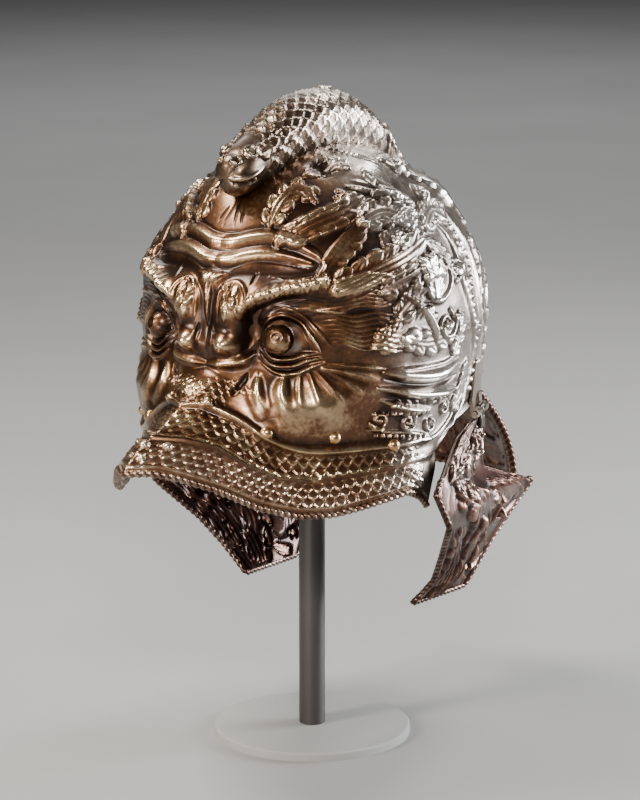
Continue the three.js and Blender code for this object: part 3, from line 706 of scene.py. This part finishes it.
for name, points, shade, smooth in (
    ("embossed_brow", mask_points[:BROW_ROWS], mask_shade[:BROW_ROWS], mask_facing[:BROW_ROWS]),
    ("embossed_mask", mask_points[BROW_ROWS - 1:], mask_shade[BROW_ROWS - 1:], mask_facing[BROW_ROWS - 1:]),
    ("embossed_skull", np.concatenate([skull_half, skull_half[:, :-1][:, ::-1] * flip], axis=1),
     np.concatenate([skull_shade, skull_shade[:, :-1][:, ::-1]], axis=1),
     np.concatenate([skull_facing, (skull_facing[:, :-1] * flip)[:, ::-1]], axis=1)),
    ("hammered_inside", np.concatenate([inner_half[:, 1:][:, ::-1] * flip, inner_half], axis=1),
     np.full((len(inner_half), 2 * middle + 1), 0.25), None)):
    piece = sheet_object(name, points, shade, smooth=smooth)
    piece.data.materials.append(bowl_steel)
    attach(piece, HELMET)
    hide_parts("bowl")


# Crest: a scaled fish forged with the bowl. Its snout rests on the forehead, the
# back arches over the crown and the smooth tail runs down behind.
FISH_STEPS, FISH_SIDES = 230, 145
fish_line = flowing([
    (-95, 387, 6, 5), (-92, 389, 10, 7.5), (-86, 392, 13, 10.5), (-77, 395, 14.5, 12), (-60, 401, 15.5, 13),
    (-34, 412, 18, 14.5), (-4, 416, 20, 16), (26, 413.5, 19.5, 15.5), (54, 402, 17.5, 14.5),
    (76, 387, 15, 13), (94, 371, 12, 11), (106, 359, 9.5, 9), (113, 349, 5.5, 5.5)], FISH_STEPS)
fish_turn = np.linspace(-np.pi / 2, 1.5 * np.pi, FISH_SIDES)
fish_run = travelled(fish_line[:, :2])
sin_turn, cos_turn = np.sin(fish_turn), np.cos(fish_turn)
fish = Skin(np.stack([
    fish_line[:, 2:3] * cos_turn,
    np.broadcast_to(fish_line[:, :1], (FISH_STEPS, FISH_SIDES)),
    fish_line[:, 1:2] + fish_line[:, 3:4] * np.where(sin_turn < 0, 1.8, 1) * sin_turn], -1))
run, girth = np.meshgrid(fish_run, fish_turn, indexing="ij")
from_back = np.abs(girth - np.pi / 2)
scaled = fade(run - 26, 10) * fade(168 - run, 8)
fish_rise, fish_edge = fish_scales(from_back * 17, run, 7.4, 6.2)
fish.lift += (scaled * (2.0 * fish_rise - 0.6)).ravel()
for at, thick, rise in ((172, 2.0, 1.8), (178, 1.4, 1.4), (206, 2.0, 1.6)):
    fish.lift += (rise * hump(run - at, thick)).ravel()
fish.pearl(np.array((0, -93, 395.0)), 7, 2.6)
for side in (-1, 1):
    ring = np.array((side * 10.5, -82, 402.5))
    from_ring = distance(fish.flat, ring)
    fish.lift += 1.8 * hump(from_ring - 4.4, 0.9) + np.where(from_ring < 3, 1.5, 0)
    ring = np.array((side * 5.5, -91, 396.0))
    from_ring = distance(fish.flat, ring)
    fish.lift += 1.4 * hump(from_ring - 2.6, 0.7)
    upper_lip = [(0, -96, 387), (side * 7, -93, 385.5), (side * 12.5, -86, 387), (side * 14.5, -74, 391)]
    mouth = [(0, -96, 384), (side * 7, -93, 382.5), (side * 12, -86, 382.5), (side * 13.5, -74, 385)]
    fish.ridge(upper_lip, 1.4, 2.0)
    fish.ridge(mouth, 1.2, -1.8)
    for k in range(6):
        fish.pearl(np.array((side * (3 + 1.9 * k), -95 + 2.6 * k, 382.0 + 0.5 * k)), 1.5, 1.6)
    fish.acanthus([(side * 13, -78, 400), (side * 15.5, -62, 406), (side * 17, -46, 412)], 7, 2.2, 5)
    fish.acanthus([(side * 8, 92, 381), (side * 11, 76, 393), (side * 13, 60, 403)], 6, 1.8, 4)
for y, z in ((10, 431.5), (15, 431), (20, 430)):
    fish.pearl(np.array((0, y, z), float), 2.6, 2.4)
fish_lift = fish.lift.reshape(run.shape)
fish_points = fish.points + fish.normal * fish_lift[..., None]
dome_reach = np.where(fish_points[..., 1] < 0, FRONT_REACH, REAR_REACH)
dome_share = (fish_points[..., 0] / HALF_WIDTH) ** 2 + (fish_points[..., 1] / dome_reach) ** 2
dome = BROW_HEIGHT + CROWN_RISE * np.sqrt(np.clip(1 - dome_share, 0, 1))
hidden = dome - 0.6
sunk = (fish_points[..., 2] < hidden) & (fish_points[..., 1] > -84)
fish_points[..., 2] = np.where(sunk, hidden, fish_points[..., 2])
for end in (0, -1):
    fish_points[end] = fish_points[end].mean(0)
fish_shade = 0.42 + 0.32 * (fish_lift - blurred(fish_lift, 6, True)) + 0.25 * scaled * fish_edge
fish_shade = np.clip(fish_shade, 0, 1)
crest_steel = worn_steel("worn_crest_steel", (0.024, 0.012, 0.007), (0.115, 0.072, 0.046), (0.42, 0.35, 0.28))
fish_silver = np.clip((run - 30) / 150, 0.15, 0.5)
crest = sheet_object("fish_crest", fish_points, fish_shade, weld=True, silver=fish_silver)
crest.data.materials.append(crest_steel)
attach(crest, HELMET)
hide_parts("bowl")


# Peak: carries the scales of the upper lip on below the rolled split line, and
# its rim is turned over a wire and roped.
PEAK_RIM = np.array([
    (0, 203, 218), (3.4, 190.9, 217.5), (6.5, 181.5, 214.5), (13.5, 164.1, 204.5), (21.4, 149.5, 191.5),
    (30.8, 136, 183.5), (40.6, 125.5, 182), (54.4, 116.9, 186), (66.6, 111.7, 189), (75.5, 103.8, 182),
    (82.5, 99.1, 172), (85.4, 98.8, 190), (87.1, 98.7, 202)], float)
PLATE_GAP = 0.35


def plain_peak(bearing, s):
    root = polar(bearing, *rim_at(BOWL_EDGE, bearing))
    rim = polar(bearing, *rim_at(PEAK_RIM, bearing))
    long = np.linalg.norm(rim - root, axis=-1)
    start = root + (rim - root) * (PLATE_GAP / np.maximum(long, 0.5))[..., None]
    swell = 2.2 * np.sin(np.pi * s) * np.minimum(1, long / 20)
    lean = np.maximum(0, 1 - np.abs(bearing) / 40)
    away = polar(bearing, np.ones_like(lean), 1.6 * lean)
    away /= np.linalg.norm(away, axis=-1, keepdims=True)
    return start + (rim - start) * s[..., None] + away * swell[..., None]


def twisted_rope(name, path, radius, lay=5.2, sides=14, bare=0.3):
    """A roped edge: a rod with slanting strands, closed at both ends."""
    path = np.asarray(path, float)
    steps = travelled(path)
    count = int(steps[-1] / 0.85)
    at = np.linspace(0, steps[-1], count)
    line = np.stack([np.interp(at, steps, path[:, k]) for k in range(3)], -1)
    padded = np.pad(line, ((3, 3), (0, 0)), mode="edge")
    line = np.stack([np.convolve(padded[:, k], np.ones(7) / 7, "valid") for k in range(3)], -1)
    along = np.gradient(line, axis=0)
    along /= np.linalg.norm(along, axis=1, keepdims=True)
    side = np.cross((0.02, 0.01, 1.0), along)
    side /= np.linalg.norm(side, axis=1, keepdims=True)
    up = np.cross(along, side)
    angle = np.linspace(0, 2 * np.pi, sides + 1)
    strand = np.cos(2 * angle[None] - 4 * np.pi * at[:, None] / (2 * lay))
    thick = radius * (0.84 + 0.20 * strand)
    thick[0] = thick[-1] = 0
    ring = side[:, None] * np.cos(angle)[None, :, None] + up[:, None] * np.sin(angle)[None, :, None]
    points = line[:, None] + ring * thick[..., None]
    # Its strands are lighter on their crowns and darker between them: painted shade together with the rub of
    # the crowns.
    return sheet_object(name, points, 0.40 + 0.28 * strand, weld=True, silver=bare)


PEAK_ROWS = 68
peak_bearings = np.concatenate([np.linspace(0, 60, 190, endpoint=False), np.linspace(60, 86.5, 66)])
peak_turn, peak_down = np.meshgrid(peak_bearings, np.linspace(0, 1, PEAK_ROWS))
peak_half = Skin(plain_peak(peak_turn, peak_down))
root_run = distance(peak_half.points, plain_peak(peak_turn, np.zeros_like(peak_turn)))
rim_run = distance(peak_half.points, plain_peak(peak_turn, np.ones_like(peak_turn)))
inside = fade(root_run - 3, 2) * fade(rim_run - 3.5, 2) * fade(77 - peak_turn, 3)
peak_arc = travelled(peak_half.points[PEAK_ROWS // 2])
peak_rise, peak_edge = fish_scales(np.broadcast_to(peak_arc, root_run.shape), root_run + 1.5, 7.4, 5.0)
peak_lift = inside * (1.3 * peak_rise - 0.3)
peak_lift += 2.0 * hump(root_run, 2.8) * fade(86 - peak_turn, 8)
peak_lift += 1.0 * hump(rim_run - 4.4, 1.1) * fade(82 - peak_turn, 4)
peak_half.lift += peak_lift.ravel()
for bearing, share, radius in ((0, 0.25, 3.6), (3.5, 0.28, 2.8), (1.2, 0.62, 2.2)):
    peak_half.pearl(point_on(plain_peak, bearing, share), radius, radius * 0.9)
for bearings in ((68, 77), (64, 75)):
    line = [point_on(plain_peak, b, 0.25 + 0.1 * k) for k, b in enumerate(np.linspace(*bearings, 6))]
    peak_half.ridge(line, 1.3, 1.8)
peak_lift = peak_half.lift.reshape(peak_turn.shape)
peak_points = peak_half.points + peak_half.normal * peak_lift[..., None]
peak_shade = 0.50 + 0.28 * (peak_lift - blurred(peak_lift, 6, False)) + 0.20 * inside * peak_edge
peak_shade = np.clip(peak_shade, 0, 1)
peak_shade *= np.clip((83 - peak_turn) / 4, 0.12, 1)
peak_points = np.concatenate([peak_points[:, 1:][:, ::-1] * (-1, 1, 1), peak_points], axis=1)
peak_shade = np.concatenate([peak_shade[:, 1:][:, ::-1], peak_shade], axis=1)
# The peak's steel has lighter tones than the bowl's: painted light on the lip.
peak_steel = worn_steel("bronzed_peak_steel_painted_light", (0.030, 0.012, 0.006), (0.20, 0.100, 0.056), (0.62, 0.50, 0.37))
peak = sheet_object("scaled_peak", peak_points, peak_shade)
thicken(peak, 0.002)
peak.data.materials.append(peak_steel)
rim_bearings = np.linspace(-82, 82, 240)
rim_path = plain_peak(rim_bearings, np.full_like(rim_bearings, 0.99)) - (0, 0, 0.4)
peak_rope = twisted_rope("peak_rope", rim_path, 2.4, lay=4.6)
peak_rope.data.materials.append(peak_steel)
for piece in (peak, peak_rope):
    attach(piece, HELMET)
    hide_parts("peak")


# Nape plate: flared to throw off a blow, with a roped edge round three sides.
def plain_nape(u, s):
    turn = 180 - np.abs(u) * 33.5
    bearing = np.where(u < 0, turn, 360 - turn)
    reach, height = rim_at(BOWL_EDGE, turn)
    top = polar(bearing, reach - 0.4, height - 0.55)
    low = polar(180 + u * 22.5, 177 - 8 * u * u, np.full_like(u, 152.0))
    p = top + (low - top) * s[..., None]
    away = p * (1, 1, 0)
    away /= np.linalg.norm(away, axis=-1, keepdims=True)
    return p + away * (7.5 * np.sin(np.pi * s))[..., None]


nape_across, nape_down = np.meshgrid(np.linspace(-1, 1, 190), np.linspace(0, 1, 70))
nape_skin = Skin(plain_nape(nape_across, nape_down))
for side in (-1, 1):
    for line, half_width, lift in (
        (((0.12, 0.25), (0.35, 0.45), (0.62, 0.50), (0.86, 0.40)), 11, 2.4),
        (((0.10, 0.50), (0.30, 0.74), (0.60, 0.80), (0.86, 0.76)), 10, 2.2)):
        nape_skin.acanthus([point_on(plain_nape, side * u, s) for u, s in line], half_width, lift, 5)
    nape_skin.scroll(point_on(plain_nape, side * 0.45, 0.2), 90, 9, 1.5, 2.2, 1.4, side)
nape_skin.acanthus([point_on(plain_nape, 0, s) for s in (0.92, 0.6, 0.2)], 10, 2.6, 5)
NAPE_LONG, NAPE_HALF = 85, 66
nape_from_end = np.minimum(nape_down, 1 - nape_down) * NAPE_LONG
nape_edge = np.minimum(nape_from_end, (1 - np.abs(nape_across)) * NAPE_HALF)
nape_lift = nape_skin.lift.reshape(nape_across.shape) * fade(nape_edge - 3, 3)
nape_lift += 0.9 * hump(nape_edge - 4.6, 1.1)
# The nape's steel has darker tones than the bowl's, painted shade for a plate that lies in shadow under the
# bowl; its hollows are darker as patina and painted shade.
nape_steel = worn_steel("brown_nape_steel", (0.020, 0.007, 0.004), (0.085, 0.028, 0.014), (0.26, 0.15, 0.10))
nape = sheet_object("nape_plate_steel", nape_skin.points + nape_skin.normal * nape_lift[..., None],
                    np.clip(0.42 + 0.25 * (nape_lift - blurred(nape_lift, 5, False)), 0, 1), silver=0.15)
thicken(nape, 0.002)
ends = np.linspace(0.04, 0.975, 30)
nape_path = np.concatenate([
    plain_nape(np.full(30, -0.985), ends),
    plain_nape(np.linspace(-0.97, 0.97, 90), np.full(90, 0.985)),
    plain_nape(np.full(30, 0.985), ends[::-1])])
nape_rope = twisted_rope("nape_rope", nape_path, 3.0, lay=5.4, bare=0.1)
for piece in (nape, nape_rope):
    piece.data.materials.append(nape_steel)
    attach(piece, HELMET)
    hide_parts("nape_plate")


# Cheekpieces: convex plates that hang from one hinge each, embossed with leaves
# that show in reverse inside. Front, lower and rear edges are roped.
HINGE = np.array((94.703, 57.017, 223))
HINGE_TURN = math.radians(18)
CHEEK_FRONT = HINGE + [
    (4, -20, -5), (6.5, -40, -11), (10.5, -55, -19), (22.5, -91, -37), (23.5, -76, -61), (2.5, -52, -90),
    (-9.5, -41, -109), (-19.5, -39, -120), (-27.5, -39, -128)]
CHEEK_REAR = HINGE + [
    (-3.5, 12, -6), (-6, 16, -16), (-8, 18, -26), (-10.5, 22, -44), (-13.5, 96, -68), (-17, 74, -84),
    (-20.5, 50, -104), (-23.5, 35, -120), (-25.5, 26, -130)]


def plain_cheek(u, row):
    rows = np.arange(9)
    front = np.stack([np.interp(row, rows, CHEEK_FRONT[:, k]) for k in range(3)], -1)
    rear = np.stack([np.interp(row, rows, CHEEK_REAR[:, k]) for k in range(3)], -1)
    p = front + (rear - front) * u[..., None]
    along = rear - front
    along /= np.linalg.norm(along, axis=-1, keepdims=True)
    away = np.stack([along[..., 1], -along[..., 0], np.full_like(u, 0.25)], -1)
    away /= np.linalg.norm(away, axis=-1, keepdims=True)
    bulge = 5 * np.sin(np.pi * np.minimum(1, u * 1.5)) * np.sin(np.pi * np.minimum(1, row / 8 + 0.12))
    return p + away * bulge[..., None]


def on_cheek(u, row):
    return point_on(plain_cheek, u, row)


cheek_across, cheek_down = np.meshgrid(np.linspace(0, 1, 136), np.linspace(0, 8, 150))
cheek_skin = Skin(plain_cheek(cheek_across, cheek_down))
for line, half_width, lift, lobes in (
    ([(0.60, 1.0), (0.52, 2.2), (0.40, 3.2), (0.24, 4.4)], 11, 3.0, 6),
    ([(0.34, 4.3), (0.40, 5.4), (0.36, 6.6), (0.26, 7.7)], 13, 3.4, 6),
    ([(0.12, 4.3), (0.12, 5.4), (0.14, 6.6)], 7, 2.4, 5),
    ([(0.62, 5.4), (0.74, 5.9), (0.80, 6.8)], 9, 2.8, 4),
    ([(0.62, 3.7), (0.78, 3.95), (0.93, 4.1)], 9, 2.8, 5),
    ([(0.10, 0.8), (0.16, 1.8), (0.14, 2.8)], 7, 2.6, 5),
    ([(0.84, 1.0), (0.80, 2.0), (0.72, 2.9)], 6, 2.4, 4),
    ([(0.22, 3.2), (0.30, 4.1), (0.24, 5.0)], 9, 2.6, 5),
    ([(0.55, 6.9), (0.70, 7.3), (0.85, 7.6)], 6, 2.2, 4)):
    cheek_skin.acanthus([on_cheek(*q) for q in line], half_width, lift * 1.2, lobes)
for line, width, lift in (
    ([(0.55, 0.6), (0.66, 1.5), (0.56, 2.4), (0.48, 1.9)], 1.7, 2.8),
    ([(0.52, 2.6), (0.50, 3.6), (0.47, 4.6), (0.50, 5.8), (0.46, 7.2)], 1.9, 3.0),
    ([(0.70, 0.3), (0.62, 2.2), (0.50, 3.4)], 1.5, 2.2),
    ([(0.30, 2.0), (0.20, 2.9), (0.24, 3.6), (0.36, 3.2)], 1.4, 2.2),
    ([(0.60, 5.0), (0.80, 4.9), (0.94, 4.5)], 1.6, 2.2),
    ([(0.55, 6.3), (0.66, 6.6), (0.85, 6.2)], 1.4, 2.0)):
    cheek_skin.ridge([on_cheek(*q) for q in line], width, lift * 1.2)
for k in range(7):
    upper = ((0.05 + 0.055 * k, 0.5 + 0.3 * k), (0.02 + 0.06 * k, 2.4), (0.05 + 0.05 * k, 3.6 + 0.1 * k))
    lower = ((0.04 + 0.05 * k, 4.0 + 0.3 * k), (0.09 + 0.05 * k, 5.2 + 0.2 * k), (0.05 + 0.06 * k, 7.6))
    cheek_skin.ridge([on_cheek(*q) for q in upper], 1.2, 1.9)
    cheek_skin.ridge([on_cheek(*q) for q in lower], 1.5, 2.0)
rosette = on_cheek(0.66, 4.55)
cheek_skin.scroll(on_cheek(0.44, 1.5), 30, 7, 1.5, 2.6, 1.4, -1)
cheek_skin.scroll(rosette, 60, 11, 1.4, 3.0, 1.9, 1)
cheek_skin.pearl(rosette, 4.5, 4.0)
front_run = distance(cheek_skin.points, plain_cheek(np.zeros_like(cheek_across), cheek_down))
rear_run = distance(cheek_skin.points, plain_cheek(np.ones_like(cheek_across), cheek_down))
edge_run = np.minimum(front_run, rear_run)
cheek_lift = cheek_skin.lift.reshape(cheek_across.shape) * fade(edge_run - 2, 4) * fade(8 - cheek_down, 0.3)
cheek_lift += 1.5 * hump(edge_run - 3.6, 1.4)
flowed = np.stack([blurred(cheek_skin.points[..., k], 7, False) for k in range(3)], -1)
inner = fade(np.minimum(edge_run, np.minimum(cheek_down, 8 - cheek_down) * 12), 10)[..., None]
cheek_points = cheek_skin.points * (1 - inner) + flowed * inner + cheek_skin.normal * cheek_lift[..., None]
cheek_shade = 0.38 + 0.28 * (cheek_lift - blurred(cheek_lift, 5, False)) - 0.10 * fade(cheek_down - 3.5, 2)
cheek_shade = np.clip(cheek_shade, 0, 1)
cheek_steel = worn_steel(
    "brown_cheek_steel", (0.020, 0.006, 0.004), (0.085, 0.028, 0.018), (0.34, 0.21, 0.16))
front_path = plain_cheek(np.full(60, 0.01), np.linspace(2.6, 7.95, 60))
lower_path = plain_cheek(np.linspace(0.05, 0.95, 20), np.full(20, 7.96))
rear_path = plain_cheek(np.full(60, 0.99), np.linspace(7.9, 3.9, 60))
cheek_path = np.concatenate([front_path, lower_path, rear_path])
KNUCKLE_RADIUS, KNUCKLE_LONG = 0.0034, 0.0098
for side, turn_over in (("left", 1), ("right", -1)):
    points = cheek_points if turn_over > 0 else (cheek_points * (-1, 1, 1))[:, ::-1]
    shade = cheek_shade if turn_over > 0 else cheek_shade[:, ::-1]
    cheek_silver = np.clip((points[..., 2] - 165) / 60, 0, 0.4)
    cheek = sheet_object(side + "_cheek_steel", points, shade, silver=cheek_silver)
    thicken(cheek, 0.0018)
    rope = twisted_rope(side + "_cheek_rope", cheek_path * (turn_over, 1, 1), 2.2, lay=4.6)
    axis = Vector((turn_over * -math.sin(HINGE_TURN), math.cos(HINGE_TURN), 0))
    centre = Vector(HINGE / 1000 * (turn_over, 1, 1))
    knuckle = bmesh.new()
    bmesh.ops.create_cone(knuckle, cap_ends=True, segments=28, radius1=KNUCKLE_RADIUS,
                          radius2=KNUCKLE_RADIUS, depth=KNUCKLE_LONG)
    for across in (-0.003, 0, 0.003):
        bead = bmesh.ops.create_uvsphere(knuckle, u_segments=16, v_segments=10, radius=0.0027)["verts"]
        bmesh.ops.translate(knuckle, verts=bead, vec=(turn_over * 0.0022, 0, across))
    tongue = bmesh.ops.create_cube(knuckle, size=1)["verts"]
    bmesh.ops.scale(knuckle, verts=tongue, vec=(0.0032, 0.0022, 0.0092))
    knuckle_turn = axis.to_track_quat("Z", "X").to_matrix().to_4x4()
    bmesh.ops.transform(knuckle, matrix=knuckle_turn, verts=knuckle.verts)
    bmesh.ops.translate(knuckle, verts=knuckle.verts, vec=centre)
    bmesh.ops.translate(knuckle, verts=tongue, vec=(turn_over * 0.0008, 0, -0.0062))
    for vertex in tongue:
        vertex.co.z += 0.0045 if vertex.co.z > centre.z - 0.0062 else -0.0040
    barrel = built(side + "_cheek_knuckle", knuckle)
    for piece in (cheek, rope, barrel):
        piece.data.materials.append(cheek_steel)
        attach(piece, side + "_cheek")
        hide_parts(side + "_cheekpiece")


# Lining rivets: round-headed, three on each side over the rolled lip, holding
# the leather lining band inside.
rivet_gilt = worn_steel(
    "worn_gilt_rivets", (0.05, 0.02, 0.008), (0.26, 0.13, 0.05), (0.62, 0.42, 0.21), gloss=0.02)
RIVET_RADIUS, RIVET_FLATTENING = 0.0041, 0.82
outer_flat, outer_normal = outer_half.reshape(-1, 3), bowl_half.normal.reshape(-1, 3)
for number, (bearing, t) in enumerate(((20.625, 0.88), (41.25, 0.88), (61.875, 0.935)), start=1):
    nearest = np.argmin(distance(bowl_half.flat, point_on(plain_bowl, bearing, t)))
    for side, turn_over in (("left", 1), ("right", -1)):
        out = Vector(outer_normal[nearest] * (turn_over, 1, 1))
        head = bmesh.new()
        bmesh.ops.create_uvsphere(head, u_segments=28, v_segments=18, radius=RIVET_RADIUS)
        bmesh.ops.scale(head, verts=head.verts, vec=(1, 1, RIVET_FLATTENING))
        bmesh.ops.transform(head, matrix=out.to_track_quat("Z", "Y").to_matrix().to_4x4(), verts=head.verts)
        seat = Vector(outer_flat[nearest] * (turn_over, 1, 1) / 1000)
        bmesh.ops.translate(head, verts=head.verts, vec=seat)
        rivet = built("%s_rivet_head_%d" % (side, number), head)
        mark_rub_and_shade(rivet.data, 0.7, 0.0)
        rivet.data.materials.append(rivet_gilt)
        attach(rivet, HELMET)
        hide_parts("%s_rivet_%d" % (side, number))


# Hinge straps and pins on the bowl: plain filed steel, left as they were forged.
hinge_steel = worn_steel("filed_hinge_steel", (0.04, 0.025, 0.02), (0.20, 0.15, 0.12), (0.5, 0.44, 0.39))
for side in ("left", "right"):
    for part in ("_hinge_leaf", "_hinge_pin"):
        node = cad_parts[side + part]
        node.data.materials.clear()
        node.data.materials.append(hinge_steel)
        mark_rub_and_shade(node.data, 0.45, 0.5)


# Stand: a round post painted dark, under the crown, on a low round foot in the
# colour of the paper it stands on.
def painted(name, colour, spread, roughness):
    finish = bpy.data.materials.new(name)
    finish.use_nodes = True
    tree = finish.node_tree
    shader = tree.nodes["Principled BSDF"]
    shader.inputs["Roughness"].default_value = roughness
    place = tree.nodes.new("ShaderNodeTexCoord")
    mottle = tree.nodes.new("ShaderNodeTexNoise")
    mottle.inputs["Scale"].default_value = 60
    mottle.inputs["Detail"].default_value = 5
    tone = tree.nodes.new("ShaderNodeValToRGB")
    tone.color_ramp.elements[0].color = (*[c * (1 - spread) for c in colour], 1)
    tone.color_ramp.elements[1].color = (*[c * (1 + spread) for c in colour], 1)
    bump = tree.nodes.new("ShaderNodeBump")
    bump.inputs["Strength"].default_value = 0.12
    bump.inputs["Distance"].default_value = 0.0004
    tree.links.new(place.outputs["Object"], mottle.inputs["Vector"])
    tree.links.new(mottle.outputs["Fac"], tone.inputs["Fac"])
    tree.links.new(tone.outputs["Color"], shader.inputs["Base Color"])
    tree.links.new(mottle.outputs["Fac"], bump.inputs["Height"])
    tree.links.new(bump.outputs["Normal"], shader.inputs["Normal"])
    return finish


for name, node, rounding, finish, slot in (
    ("round_post", "stand_post", 0.0015, painted("dark_post_paint", (0.020, 0.0155, 0.016), 0.2, 0.45),
     "post_finish"),
    ("round_foot", "stand_base", 0.0018, painted("pale_foot_paint", (0.206, 0.206, 0.204), 0.05, 0.9),
     "base_finish")):
    corner_low, corner_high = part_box(node)
    low, high = corner_low[2], corner_high[2]
    radius = (corner_high[0] - corner_low[0]) / 2
    turned = bmesh.new()
    bmesh.ops.create_cone(turned, cap_ends=True, segments=96, radius1=radius, radius2=radius,
                          depth=high - low)
    bmesh.ops.translate(turned, verts=turned.verts, vec=(0, 0, (low + high) / 2))
    top_rim = [e for e in turned.edges if all(v.co.z > high - 0.0001 for v in e.verts)]
    bmesh.ops.bevel(turned, geom=top_rim, offset=rounding, segments=4, profile=0.5, affect="EDGES",
                    material=-1)
    piece = built(name, turned)
    crisp = piece.modifiers.new("crisp_rims", "EDGE_SPLIT")
    crisp.split_angle = math.radians(50)
    piece.data.materials.append(finish)
    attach(piece, HELMET)
    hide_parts(node)
